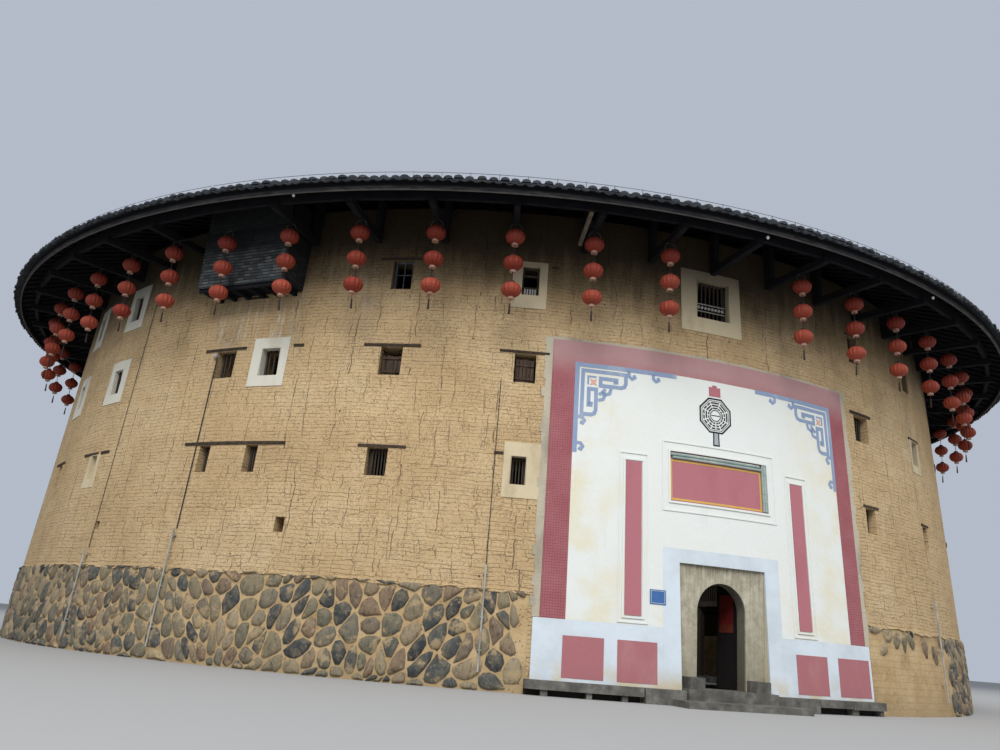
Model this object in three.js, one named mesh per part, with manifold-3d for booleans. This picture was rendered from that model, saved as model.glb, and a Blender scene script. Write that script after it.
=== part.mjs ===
// Round earth house (tulou) of four storeys: a ring of rammed earth on a cobble plinth, a timber gallery
// round the courtyard, a tiled ring roof with deep eaves, lantern strings and a plastered entrance.
// Lengths are the real house's, in millimetres, and the finished group is a 1:2 model of it.
// Angles are in degrees round the house's axis: the door is at 0, facing -Y, and they grow towards +X.
// Heights are above the lowest ground at the wall's foot.

import * as THREE from 'three';
import Module from 'manifold-3d';
import { mergeVertices } from 'three/addons/utils/BufferGeometryUtils.js';

const wasm = await Module();
wasm.setup();

const modelScale = 0.5;
const seam = 0.6;                       // gap between pieces that touch

// Divisions of the ring
const facets = 116;                     // flat faces round the outer wall and the roof
const facet = 360 / facets;
const bracketStep = 2 * facet;
const bayCount = facets / 4;
const bayStep = 4 * facet;

// Levels
const sill = 400;                       // door sill above the lowest ground
const plinthTop = sill + 1980;
const floorTops = { 2: sill + 3400, 3: sill + 6200, 4: sill + 8950 };
const wallTop = sill + 12550;

// Earth wall
const footRadius = 19000;               // outer face at the height of the sill
const batter = 0.0685;
const innerRadius = 17500;
const plinthProud = 35;
const wallRadius = (z) => footRadius - batter * (z - sill);

// Roof
const eaveRadius = 21215;
const eaveTop = sill + 11810;
const fasciaRadius = 20990;
const fasciaFoot = sill + 11550;
const ridgeRadius = 15300;
const innerEaveRadius = 11000;
const pitch = 0.39;                     // rise of a slope for each unit of run
const roofDepth = 150;
const outerSlope = (r) => eaveTop + pitch * (eaveRadius - r);
const ridgeTop = outerSlope(ridgeRadius);
const innerSlope = (r) => ridgeTop - pitch * (ridgeRadius - r);

// Brackets under the outer eaves
const bracketWidth = 160;
const bracketFoot = sill + 11420;
const bracketDepth = 200;
const bracketReach = 20600;
const bracketPost = 18450;
const purlin = { from: 20400, to: 20520 };

// Lantern strings
const lanternRadius = 19640;
const lanternTop = sill + 11037;
const lanternStep = 759;
const batten = 60;

// Gallery round the courtyard
const postRadius = 12350;
const postWidth = 240;
const kerbHeight = 300;

const rad = THREE.MathUtils.degToRad;
const seamDeg = seam / footRadius * 180 / Math.PI;
const material = (color, roughness, metalness = 0) =>
  new THREE.MeshStandardMaterial({ color, roughness, metalness });

const house = new THREE.Group();
house.scale.setScalar(modelScale);

function addPiece(name, geometry, color, roughness = 0.9, metalness = 0) {
  const mesh = new THREE.Mesh(geometry, material(color, roughness, metalness));
  mesh.name = name;
  house.add(mesh);
  return mesh;
}

const colours = {
  earth: '#c8a878',
  cobble: '#8a8170',
  granite: '#8f8b80',
  tile: '#3f4346',
  darkTimber: '#3a322b',
  greyTimber: '#6f6559',
  lantern: '#d24a34',
  plaster: '#ece8dc',
  paleBlue: '#c9d2d6',
  rose: '#b4646e',
};

// Solids as closed meshes, to join and cut

function toSolid(geometry) {
  const bare = geometry.clone();
  bare.deleteAttribute('normal');
  bare.deleteAttribute('uv');
  const merged = mergeVertices(bare, 1e-3);
  return new wasm.Manifold(new wasm.Mesh({
    numProp: 3,
    vertProperties: merged.attributes.position.array,
    triVerts: merged.index.array,
  }));
}

function toGeometry(solid) {
  const mesh = solid.getMesh();
  const geometry = new THREE.BufferGeometry();
  geometry.setAttribute('position', new THREE.BufferAttribute(mesh.vertProperties, 3));
  geometry.setIndex(new THREE.BufferAttribute(mesh.triVerts, 1));
  geometry.computeVertexNormals();
  return geometry;
}

const joined = (geometries) => toGeometry(geometries.map(toSolid).reduce((all, next) => all.add(next)));
const cut = (geometry, tools) =>
  toGeometry(tools.map(toSolid).reduce((left, tool) => left.subtract(tool), toSolid(geometry)));

// Shapes that follow the ring

// How far in from its circle a point of a ring with straight sides lies, at a bearing between two corners.
function chordFactor(deg, step) {
  const corner = Math.round(deg / step) * step;
  if (Math.abs(deg - corner) < 1e-6) return 1;
  const middle = (Math.floor(deg / step) + 0.5) * step;
  return Math.cos(rad(step / 2)) / Math.cos(rad(deg - middle));
}

// Sweeps a profile of [radius, height] points, listed anticlockwise, through a list of angles. The ring has
// its corners at whole steps.
function ringSection(profile, angles, step = facet, closed = false) {
  const n = profile.length;
  const positions = angles.flatMap((deg) => profile.flatMap(([r, z]) => {
    const reach = r * chordFactor(deg, step);
    return [reach * Math.sin(rad(deg)), -reach * Math.cos(rad(deg)), z];
  }));
  const index = [];
  const steps = closed ? angles.length : angles.length - 1;
  for (let a = 0; a < steps; a++) {
    const b = (a + 1) % angles.length;
    for (let i = 0; i < n; i++) {
      const j = (i + 1) % n;
      index.push(a * n + i, b * n + i, b * n + j);
      index.push(a * n + i, b * n + j, a * n + j);
    }
  }
  if (!closed) {
    const end = (angles.length - 1) * n;
    const caps = THREE.ShapeUtils.triangulateShape(profile.map(([r, z]) => new THREE.Vector2(r, z)), []);
    caps.forEach(([p, q, s]) => index.push(p, q, s, end + s, end + q, end + p));
  }
  const geometry = new THREE.BufferGeometry();
  geometry.setAttribute('position', new THREE.Float32BufferAttribute(positions, 3));
  geometry.setIndex(index);
  return geometry;
}

// Angles from one bearing to another, with a vertex at each whole step between them.
function span(from, to, step = facet) {
  const angles = [from];
  for (let k = Math.floor(from / step) + 1; k * step < to - 1e-6; k++) {
    if (k * step > from + 1e-6) angles.push(k * step);
  }
  angles.push(to);
  return angles;
}

const wholeRing = (step) => Array.from({ length: Math.round(360 / step) }, (_, k) => k * step);

// A box with one side facing the axis, given by its radii, width, foot and top.
function radialBox(from, to, width, foot, top, deg) {
  const box = new THREE.BoxGeometry(width, to - from, top - foot);
  box.translate(0, -(from + to) / 2, (foot + top) / 2);
  return box.rotateZ(rad(deg));
}

// A flat plate standing on a radius, cut to an outline of [radius, height] points.
function radialPlate(outline, width, deg) {
  const shape = new THREE.Shape(outline.map(([r, z]) => new THREE.Vector2(r, z)));
  const plate = new THREE.ExtrudeGeometry(shape, { depth: width, bevelEnabled: false });
  plate.rotateX(Math.PI / 2).translate(0, width / 2, 0);
  return plate.rotateZ(rad(deg - 90));
}

// Face of the earth wall between two heights, as a layer of a given depth.
function wallLayer(fromDeg, toDeg, foot, top, back, front) {
  const profile = [[wallRadius(foot) + back, foot], [wallRadius(foot) + front, foot],
    [wallRadius(top) + front, top], [wallRadius(top) + back, top]];
  return ringSection(profile, span(fromDeg, toDeg));
}

// Windows: one column for each bearing, with the width of its hole on the second, third and fourth
// storeys, in degrees of the wall. A width of 0 leaves that storey plain.

const windowRows = [
  { foot: sill + 4580, top: sill + 5340 },
  { foot: sill + 7370, top: sill + 8200 },
  { foot: sill + 9950, top: sill + 10850 },
];
const frontWindows = [
  { deg: -72, widths: [1.3, 1.6, 1.6] },
  { deg: -61.3, widths: [1.3, 1.8, 1.8] },
  { deg: -44.8, widths: [1.1, 2.0, 0] },
  { deg: -39.8, widths: [1.1, 2.0, 0] },
  { deg: -28.4, widths: [1.6, 1.7, 1.6] },
  { deg: -17, widths: [1.3, 1.6, 1.6] },
  { deg: 18, widths: [1.4, 2.0, 1.4] },
  { deg: 29.9, widths: [1.2, 1.8, 1.6] },
];
const hiddenColumns = 21;
const hiddenStart = 45;
const hiddenStep = 11.25;
const hiddenWindows = Array.from({ length: hiddenColumns }, (_, k) =>
  ({ deg: hiddenStart + k * hiddenStep, widths: [1.3, 1.8, 1.6] }));
const splay = 1.35;                     // width inside for each unit outside

// A hole through the wall that widens inwards.
function windowHole(deg, widthDeg, foot, top) {
  const width = 2 * wallRadius(top) * Math.sin(rad(widthDeg / 2));
  const from = innerRadius - 100;
  const to = footRadius + 100;
  const hole = new THREE.BoxGeometry(width, to - from, top - foot);
  const corners = hole.attributes.position;
  for (let i = 0; i < corners.count; i++) {
    if (corners.getY(i) > 0) corners.setX(i, corners.getX(i) * splay);
  }
  return hole.translate(0, -(from + to) / 2, (foot + top) / 2).rotateZ(rad(deg));
}

const windowHoles = [...frontWindows, ...hiddenWindows].flatMap(({ deg, widths }) =>
  windowRows.flatMap(({ foot, top }, row) =>
    (widths[row] ? [{ deg, hole: windowHole(deg, widths[row], foot, top) }] : [])));
const galleryWindow = { deg: 0, hole: windowHole(0, 3.4, sill + 10000, sill + 11200) };
const ventHoles = [
  { deg: -35.8, hole: windowHole(-35.8, 0.8, sill + 3000, sill + 3400) },
  { deg: -57.1, hole: windowHole(-57.1, 0.6, sill + 3000, sill + 3230) },
];
const hangingRoom = { deg: -42.7, halfWidth: 1510, back: 18040, front: 19130, foot: sill + 9950, wall: 90 };
const roomDoorway = { deg: hangingRoom.deg,
  hole: windowHole(hangingRoom.deg, 2.4, hangingRoom.foot + hangingRoom.wall, hangingRoom.foot + 1750) };
windowHoles.push(galleryWindow, roomDoorway, ...ventHoles);

// Wall segments, by whole facets counted from the door

const doorwayWidth = 2550;
const doorwayTop = sill + 3000;
const overDoorEdge = 4.2;               // degrees each side of the door
const pastPlinth = 28;                  // a bearing well past the walls beside the door
const wallRuns = [[8, 28], [30, 43], [43, 57], [59, 73], [73, 86], [88, 109]];
const piers = { right: [28, 30], back: [57, 59], left: [86, 88] };
const liftTops = { 2: sill + 6350, 3: sill + 9100, 4: wallTop };
const plinthEdges = [5, 58, 111];

const holeReach = 2;                    // degrees that a hole reaches to each side of its bearing

const meets = (deg, from, to) => {
  const turn = ((deg - from + holeReach) % 360 + 360) % 360;
  return turn < to - from + 2 * holeReach;
};

function wallSegment(fromDeg, toDeg, foot, tools = [], top = wallTop) {
  const profile = [[innerRadius, foot], [wallRadius(foot), foot],
    [wallRadius(top), top], [innerRadius, top]];
  const holes = windowHoles.filter(({ deg }) => meets(deg, fromDeg, toDeg)).map(({ hole }) => hole);
  return cut(ringSection(profile, span(fromDeg, toDeg)), [...holes, ...tools]);
}

const degreesOf = ([from, to]) => [from * facet + seamDeg, to * facet - seamDeg];

wallRuns.forEach((run, k) => {
  addPiece(`earth_wall_${k + 1}`, wallSegment(...degreesOf(run), plinthTop + seam), colours.earth, 0.95);
});
for (const [side, run] of Object.entries(piers)) {
  let foot = plinthTop + seam;
  for (const [storey, top] of Object.entries(liftTops)) {
    const lift = wallSegment(...degreesOf(run), foot, [], top - seam);
    addPiece(`wall_pier_${side}_${storey}`, lift, colours.earth, 0.95);
    foot = top;
  }
}

const plinthFace = (z) => wallRadius(z) + plinthProud;
const plinthProfile = (grow) => [[innerRadius - grow, -grow], [plinthFace(0) + grow, -grow],
  [plinthFace(plinthTop) + grow, plinthTop + grow], [innerRadius - grow, plinthTop + grow]];
const plinthNotch = (fromDeg, toDeg) => ringSection(plinthProfile(seam), span(fromDeg, toDeg));
const doorSideLeft = wallSegment((109 - facets) * facet + seamDeg, -overDoorEdge - seamDeg, 0,
  [plinthNotch(-pastPlinth, (111 - facets) * facet + seamDeg)]);
const doorSideRight = wallSegment(overDoorEdge + seamDeg, 8 * facet - seamDeg, 0,
  [plinthNotch(5 * facet - seamDeg, pastPlinth)]);
addPiece('wall_left_of_door', doorSideLeft, colours.earth, 0.95);
addPiece('wall_right_of_door', doorSideRight, colours.earth, 0.95);
addPiece('wall_over_door', wallSegment(-overDoorEdge, overDoorEdge, doorwayTop), colours.earth, 0.95);

plinthEdges.slice(0, -1).forEach((edge, k) => {
  const angles = span(edge * facet + seamDeg, plinthEdges[k + 1] * facet - seamDeg, bracketStep);
  addPiece(`cobble_plinth_${['right', 'left'][k]}`, ringSection(plinthProfile(0), angles, bracketStep),
    colours.cobble, 0.95);
});

// Entrance: the jambs beside the doorway, the stone door plate with its arch, the sill and the steps

const plateWidth = 2530;
const plateFront = footRadius - 250;
const plateBack = plateFront - 380;
const plateHeight = 3000;
const archHalf = 710;
const archSpring = 1880;

function doorJamb(side) {
  const outer = side > 0 ? overDoorEdge : -overDoorEdge;
  const profile = [[innerRadius, 0], [wallRadius(0), 0], [wallRadius(doorwayTop), doorwayTop - seam],
    [innerRadius, doorwayTop - seam]];
  const block = ringSection(profile, side > 0 ? span(0, outer) : span(outer, 0));
  const passage = radialBox(innerRadius - 200, footRadius + 200, doorwayWidth, -10, doorwayTop + 10, 0);
  return cut(block, [passage]);
}
addPiece('door_jamb_left', doorJamb(-1), colours.earth, 0.95);
addPiece('door_jamb_right', doorJamb(1), colours.earth, 0.95);

const plateOutline = new THREE.Shape();
plateOutline.moveTo(plateWidth / 2, 0);
plateOutline.lineTo(plateWidth / 2, plateHeight - 2 * seam);
plateOutline.lineTo(-plateWidth / 2, plateHeight - 2 * seam);
plateOutline.lineTo(-plateWidth / 2, 0);
plateOutline.lineTo(-archHalf, 0);
plateOutline.lineTo(-archHalf, archSpring);
plateOutline.absarc(0, archSpring, archHalf, Math.PI, 0, true);
plateOutline.lineTo(archHalf, 0);
const doorPlate = new THREE.ExtrudeGeometry(plateOutline,
  { depth: plateFront - plateBack, bevelEnabled: false, curveSegments: 16 });
doorPlate.rotateX(Math.PI / 2).translate(0, -plateBack, sill + seam);
addPiece('door_stone_arch', doorPlate, colours.granite, 0.9);

const sillFront = footRadius + 350;
const sillBack = plateBack - 270;
addPiece('door_sill', radialBox(sillBack, sillFront, plateWidth - 10, 0, sill, 0), colours.granite);

const blockWidth = 400;
const blockCentre = 940;
const blockHeight = 270;
for (const [name, side] of [['left', -1], ['right', 1]]) {
  const block = new THREE.BoxGeometry(blockWidth, 440, blockHeight);
  block.translate(side * blockCentre, -(plateFront + 10 + 220), sill + seam + blockHeight / 2);
  addPiece(`door_block_${name}`, block, colours.granite);
}

const stepWidth = 3400;
addPiece('door_step', radialBox(sillFront + seam, sillFront + 750, stepWidth, 0, 150, 0), colours.granite);

const kerbOuter = footRadius + 330;
const kerbEnd = 17;
const kerbTop = sill - 50 - seam;
const kerbProfile = [[wallRadius(0) + seam, 0], [kerbOuter, 0], [kerbOuter, kerbTop],
  [wallRadius(0) + seam, kerbTop]];
const sillEdge = 3.86;
addPiece('kerb_left', ringSection(kerbProfile, span(-15.4, -sillEdge)), colours.granite);
addPiece('kerb_right', ringSection(kerbProfile, span(sillEdge, 15.4)), colours.granite);

// Door leaves: each turns on pins between the sill and the head beam, and stands open at rest

const leafOpen = 80;
const leafFoot = sill + 20;
const leafTop = sill + 2680;
const leafDepth = 60;
const pivotX = 810;
const pivotY = -(plateBack - 60);
const leafHeel = 40;
const leafReach = 798;
const pinRadius = 22;
const headFoot = sill + 2700;

function doorLeaf(side) {
  const width = leafHeel + leafReach;
  const board = new THREE.BoxGeometry(width, leafDepth, leafTop - leafFoot);
  board.translate(side * (leafHeel - width / 2), 0, (leafFoot + leafTop) / 2);
  const pinFoot = sill + seam;
  const pin = new THREE.CylinderGeometry(pinRadius, pinRadius, headFoot - seam - pinFoot, 8);
  pin.rotateX(Math.PI / 2).translate(0, 0, (pinFoot + headFoot - seam) / 2);
  return joined([board, pin]);
}
for (const [name, side] of [['left', -1], ['right', 1]]) {
  const leaf = addPiece(`door_leaf_${name}`, doorLeaf(side), colours.darkTimber, 0.8);
  leaf.position.set(side * pivotX, pivotY, 0);
  leaf.rotation.z = -side * rad(leafOpen);
}
const headBeam = new THREE.BoxGeometry(plateWidth - 10, 260, 240);
headBeam.translate(0, -(plateBack - seam - 130), headFoot + 120);
addPiece('door_head_beam', headBeam, colours.darkTimber, 0.8);

// Plastered entrance panel, following the wall

const panelDepth = 60;
const panelFoot = sill - 50;
const dadoTop = sill + 1370;
const fieldTop = sill + 8080;
const borderTop = sill + 8690;
const fieldEdge = 12.8;
const borderEdge = 14.7;
const bandEdge = 5.25;
const bandTop = sill + 3350;
const plaque = { edge: 4.6, foot: sill + 4570, top: sill + 5920 };
const couplet = { from: 7.05, to: 8.35, foot: sill + 1600, top: sill + 5500 };
const layer = (fromDeg, toDeg, foot, top, back = seam, front = panelDepth) =>
  wallLayer(fromDeg, toDeg, foot, top, back, front);
const gapDeg = 2 * seamDeg;

addPiece('entrance_field', cut(layer(-fieldEdge, fieldEdge, dadoTop, fieldTop), [
  wallLayer(-bandEdge - gapDeg, bandEdge + gapDeg, dadoTop - 10, bandTop + seam, -50, 200),
  wallLayer(-plaque.edge, plaque.edge, plaque.foot, plaque.top, -50, 200),
]), colours.plaster, 0.85);
addPiece('entrance_border', cut(layer(-borderEdge, borderEdge, dadoTop, borderTop), [
  wallLayer(-fieldEdge - gapDeg, fieldEdge + gapDeg, dadoTop - 10, fieldTop + seam, -50, 200),
]), colours.rose, 0.85);
addPiece('door_band', cut(layer(-bandEdge, bandEdge, panelFoot, bandTop), [
  radialBox(innerRadius, footRadius + 300, plateWidth + 10, panelFoot - 10, sill + plateHeight, 0),
]), colours.paleBlue, 0.85);
addPiece('dado_left', layer(-15.2, -bandEdge - gapDeg, panelFoot, dadoTop - seam), colours.paleBlue, 0.85);
addPiece('dado_right', layer(bandEdge + gapDeg, 15.2, panelFoot, dadoTop - seam), colours.paleBlue, 0.85);
addPiece('name_board', layer(-plaque.edge + gapDeg, plaque.edge - gapDeg, plaque.foot + seam,
  plaque.top - seam, seam, 20), colours.rose, 0.8);
for (const [name, from, to] of [['left', -couplet.to, -couplet.from], ['right', couplet.from, couplet.to]]) {
  addPiece(`couplet_board_${name}`, layer(from, to, couplet.foot, couplet.top, panelDepth + seam,
    panelDepth + 25), colours.rose, 0.8);
}

// Eaves timbers: cantilever beams with a post at the wall, tied by the eaves purlin

const underRoof = (r) => outerSlope(r) - roofDepth;
const bracketTop = underRoof(bracketPost) - 3 * seam;   // clear of the roof's facets at the post's edges
const bracketOutline = [
  [wallRadius(bracketFoot) + seam, bracketFoot],
  [bracketReach, bracketFoot],
  [bracketReach, bracketFoot + bracketDepth],
  [bracketPost, bracketFoot + bracketDepth],
  [bracketPost, bracketTop],
  [wallRadius(bracketTop) + seam, bracketTop],
];
const missingBracket = -7;

const halves = [
  { name: 'front', from: -14.5, to: 14.5 },
  { name: 'back', from: 14.5, to: 43.5 },
];
const quarters = [
  { name: 'front_left', from: -14.5, to: -0.5 },
  { name: 'front_right', from: -0.5, to: 14.5 },
  { name: 'back_right', from: 14.5, to: 29.5 },
  { name: 'back_left', from: 29.5, to: 43.5 },
];
for (const { name, from, to } of quarters) {
  const purlinFoot = bracketFoot + bracketDepth - 20;
  const profile = [[purlin.from, purlinFoot], [purlin.to, purlinFoot],
    [purlin.to, underRoof(purlin.to) - seam], [purlin.from, underRoof(purlin.to) - seam]];
  const angles = span(from * bracketStep + seamDeg, to * bracketStep - seamDeg, bracketStep);
  const pieces = [ringSection(profile, angles, bracketStep)];
  for (let k = Math.ceil(from); k < to; k++) {
    if (k !== missingBracket) pieces.push(radialPlate(bracketOutline, bracketWidth, k * bracketStep));
  }
  addPiece(`eaves_timbers_${name}`, joined(pieces), colours.darkTimber, 0.85);
}

// Lantern strings: three lanterns and a tassel each, hung from a batten under the brackets

const lanternHalf = 110;
const hookRadius = 12;
const hookDepth = 8;                    // how far a string's hook goes into the batten
function lanternString(deg) {
  const last = lanternTop - 2 * lanternStep;
  const outline = [[hookRadius, bracketFoot - batten + hookDepth]];
  for (let k = 0; k < 3; k++) {
    const middle = lanternTop - k * lanternStep;
    outline.push([245, middle + lanternHalf], [245, middle - lanternHalf]);
    if (k < 2) outline.push([40, middle - lanternStep / 2]);
  }
  outline.push([60, last - 240], [12, last - 740]);
  outline.unshift([0, outline[0][1]]);
  outline.push([0, outline.at(-1)[1]]);
  const points = outline.reverse().map(([r, z]) => new THREE.Vector2(r, z));
  const string = new THREE.LatheGeometry(points, 5);
  string.rotateX(Math.PI / 2).translate(0, -lanternRadius, 0);
  return string.rotateZ(rad(deg));
}
for (const { name, from, to } of halves) {
  const battenIn = lanternRadius - batten / 2;
  const battenOut = lanternRadius + batten / 2;
  const profile = [[battenIn, bracketFoot - batten], [battenOut, bracketFoot - batten],
    [battenOut, bracketFoot - seam], [battenIn, bracketFoot - seam]];
  const angles = span(from * bracketStep + seamDeg, to * bracketStep - seamDeg, bracketStep);
  const pieces = [ringSection(profile, angles, bracketStep)];
  for (let k = Math.ceil(from); k < to; k++) {
    if (k !== 0) pieces.push(lanternString(k * bracketStep));
  }
  addPiece(`lantern_strings_${name}`, joined(pieces), colours.lantern, 0.6);
}

// Hanging room under the eaves, clad in small slates

const room = new THREE.Shape([
  [-hangingRoom.halfWidth, -hangingRoom.front],
  [hangingRoom.halfWidth, -hangingRoom.front],
  [hangingRoom.halfWidth, -hangingRoom.back],
  [hangingRoom.halfWidth - hangingRoom.wall, -hangingRoom.back],
  [hangingRoom.halfWidth - hangingRoom.wall, -(hangingRoom.front - hangingRoom.wall)],
  [-hangingRoom.halfWidth + hangingRoom.wall, -(hangingRoom.front - hangingRoom.wall)],
  [-hangingRoom.halfWidth + hangingRoom.wall, -hangingRoom.back],
  [-hangingRoom.halfWidth, -hangingRoom.back],
].map(([x, y]) => new THREE.Vector2(x, y)));
const roomCorner = Math.hypot(hangingRoom.front, hangingRoom.halfWidth);
const roomTop = underRoof(roomCorner / Math.cos(rad(bracketStep / 2))) - 4 * seam;
const roomWalls = new THREE.ExtrudeGeometry(room, { depth: roomTop - hangingRoom.foot, bevelEnabled: false });
roomWalls.translate(0, 0, hangingRoom.foot);
const roomFloor = new THREE.BoxGeometry(2 * hangingRoom.halfWidth, hangingRoom.front - hangingRoom.back,
  hangingRoom.wall);
roomFloor.translate(0, -(hangingRoom.front + hangingRoom.back) / 2, hangingRoom.foot + hangingRoom.wall / 2);
const roomTurn = rad(hangingRoom.deg);
const wallSolid = ringSection([[innerRadius, plinthTop], [wallRadius(plinthTop) + seam, plinthTop],
  [wallRadius(wallTop + 500) + seam, wallTop + 500], [innerRadius, wallTop + 500]], span(-56, -30));
addPiece('hanging_room', cut(joined([roomWalls.rotateZ(roomTurn), roomFloor.rotateZ(roomTurn)]),
  [wallSolid]), colours.tile, 0.85);

// Ring roof: an outer and an inner slope that meet under the ridge cap

const roofOutline = [
  [ridgeRadius, ridgeTop - roofDepth],
  [fasciaRadius - 140, underRoof(fasciaRadius - 140)],
  [fasciaRadius, fasciaFoot],
  [eaveRadius, eaveTop - 70],
  [eaveRadius, eaveTop],
  [ridgeRadius, ridgeTop],
];
for (const { name, from, to } of halves) {
  const angles = span(from * bracketStep + seamDeg, to * bracketStep - seamDeg, bracketStep);
  addPiece(`outer_roof_${name}`, ringSection(roofOutline, angles, bracketStep), colours.tile, 0.85);
}
const innerOutline = [
  [innerEaveRadius, innerSlope(innerEaveRadius) - roofDepth],
  [ridgeRadius - seam, ridgeTop - roofDepth],
  [ridgeRadius - seam, ridgeTop],
  [innerEaveRadius, innerSlope(innerEaveRadius)],
];
addPiece('inner_roof', ringSection(innerOutline, wholeRing(bracketStep), bracketStep, true),
  colours.tile, 0.85);

const capHalf = 280;
const ridgeCap = [
  [ridgeRadius - capHalf, ridgeTop - pitch * capHalf + seam],
  [ridgeRadius, ridgeTop + seam],
  [ridgeRadius + capHalf, ridgeTop - pitch * capHalf + seam],
  [ridgeRadius + 110, ridgeTop + 190],
  [ridgeRadius - 110, ridgeTop + 190],
];
addPiece('ridge_cap', ringSection(ridgeCap, wholeRing(bracketStep), bracketStep, true), colours.tile, 0.85);

// Gallery: posts on the courtyard kerb, joined by the purlin of the inner roof

const bayCos = Math.cos(rad(bayStep / 2));
const galleryPurlin = { from: postRadius - 100, to: postRadius + 100, depth: 220 };
const galleryTop = innerSlope(galleryPurlin.from * bayCos) - roofDepth - seam;
const bayHalves = [
  { name: 'front', from: -7.5, to: 7.5 },
  { name: 'back', from: 7.5, to: 21.5 },
];
for (const { name, from, to } of bayHalves) {
  const foot = galleryTop - galleryPurlin.depth;
  const profile = [[galleryPurlin.from, foot], [galleryPurlin.to, foot],
    [galleryPurlin.to, galleryTop], [galleryPurlin.from, galleryTop]];
  const edge = seam / postRadius * 180 / Math.PI;
  const angles = span(from * bayStep + edge, to * bayStep - edge, bayStep);
  const pieces = [ringSection(profile, angles, bayStep)];
  for (let k = Math.ceil(from); k < to; k++) {
    pieces.push(radialBox(postRadius - postWidth / 2, postRadius + postWidth / 2, postWidth,
      kerbHeight + seam, foot + galleryPurlin.depth / 2, k * bayStep));
  }
  addPiece(`gallery_posts_${name}`, joined(pieces), colours.greyTimber, 0.85);
}
const courtyardKerb = [[postRadius - 250, 0], [postRadius + 250, 0],
  [postRadius + 250, kerbHeight], [postRadius - 250, kerbHeight]];
addPiece('courtyard_kerb', ringSection(courtyardKerb, wholeRing(bayStep), bayStep, true), colours.granite);

const ringPoints = (radius, step) => wholeRing(step).map((deg) =>
  new THREE.Vector2(radius * Math.sin(rad(deg)), -radius * Math.cos(rad(deg))));
const floorDepth = 60;
const joist = { width: 140, depth: 220 };
for (const [storey, top] of Object.entries(floorTops)) {
  const inner = postRadius + postWidth / 2 * (1 + Math.tan(rad(bayStep / 2))) + seam;
  const outer = innerRadius - 20;
  const boards = new THREE.Shape(ringPoints(outer, bracketStep));
  boards.holes.push(new THREE.Path(ringPoints(inner, bayStep).reverse()));
  const pieces = [new THREE.ExtrudeGeometry(boards, { depth: floorDepth, bevelEnabled: false })
    .translate(0, 0, top - floorDepth)];
  for (let k = 0; k < bayCount; k++) {
    pieces.push(radialBox(inner, outer - 20, joist.width, top - floorDepth - joist.depth,
      top - floorDepth / 2, k * bayStep));
  }
  addPiece(`floor_${storey}`, joined(pieces), colours.greyTimber, 0.9);
  const railTop = top + 950;
  const railEdge = postRadius - postWidth / 2 - seam;
  const rail = [[railEdge - 90, railTop - 110], [railEdge, railTop - 110],
    [railEdge, railTop], [railEdge - 90, railTop]];
  addPiece(`gallery_rail_${storey}`, ringSection(rail, wholeRing(bayStep), bayStep, true),
    colours.greyTimber, 0.85);
}

export default house;
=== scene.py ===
# %% [markdown]
# # Dressing a round earth house
#
# The solids of the house come packed as a frame: a ring of rammed earth, a roof, a door and so on, at half
# the real size. This lesson gives them their looks. Each step names what a piece is on the real house, how it
# could be made in Blender, and why it is made the way it is here.

# %% Load the frame
import math
import random

import bmesh
import bpy
import numpy as np
from mathutils import Matrix, Vector
from mathutils.geometry import delaunay_2d_cdt


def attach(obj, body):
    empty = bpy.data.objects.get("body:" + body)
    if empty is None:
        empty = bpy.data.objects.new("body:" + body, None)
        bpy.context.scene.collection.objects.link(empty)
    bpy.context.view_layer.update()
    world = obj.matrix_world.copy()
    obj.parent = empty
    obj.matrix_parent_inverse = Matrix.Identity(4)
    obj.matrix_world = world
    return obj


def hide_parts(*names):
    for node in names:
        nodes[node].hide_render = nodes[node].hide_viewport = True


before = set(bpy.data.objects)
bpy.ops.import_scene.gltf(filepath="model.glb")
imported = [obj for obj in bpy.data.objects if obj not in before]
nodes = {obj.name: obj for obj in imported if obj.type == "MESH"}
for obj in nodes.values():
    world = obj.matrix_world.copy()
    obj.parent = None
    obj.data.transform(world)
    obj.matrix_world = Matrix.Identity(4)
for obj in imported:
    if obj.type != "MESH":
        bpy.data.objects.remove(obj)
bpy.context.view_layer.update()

# %% [markdown]
# ## The ring's own measures
#
# A round house is easiest to think of in bearings and heights: the door is at bearing 0, bearings grow to the
# right of it, and heights count from the door sill. All lengths below are the real house's, in metres. The
# frame is a half-size model, so every finished mesh is halved once, at the end.

# %% Sizes of the ring
HALF = 0.5
SILL = 0.4
FOOT_RADIUS = 19.0
BATTER = 0.0685
INNER_RADIUS = 17.5
PLINTH_TOP = 1.98
EAVE_RADIUS = 21.215
EAVE_TOP = 11.81
RIDGE_RADIUS = 15.3
INNER_EAVE = 11.0
PITCH = 0.39
FACETS = 116
BRACKETS = FACETS // 2
BRACKET_STEP = 360 / BRACKETS


def wall_radius(z):
    """Radius of the wall's outer face at a height above the sill."""
    return FOOT_RADIUS - BATTER * z


def along(bearing):
    """Metres along the foot of the wall from the door for a bearing."""
    return math.radians(bearing) * FOOT_RADIUS


def outer_slope(radius):
    """Height of the outer roof's top at a radius."""
    return EAVE_TOP + PITCH * (EAVE_RADIUS - radius)


RIDGE_TOP = outer_slope(RIDGE_RADIUS)


def place(radius, bearing, z):
    """A point of the real house: radius, bearing in degrees and height above the sill."""
    turn = math.radians(bearing)
    return Vector((radius * math.sin(turn), -radius * math.cos(turn), z + SILL))


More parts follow.
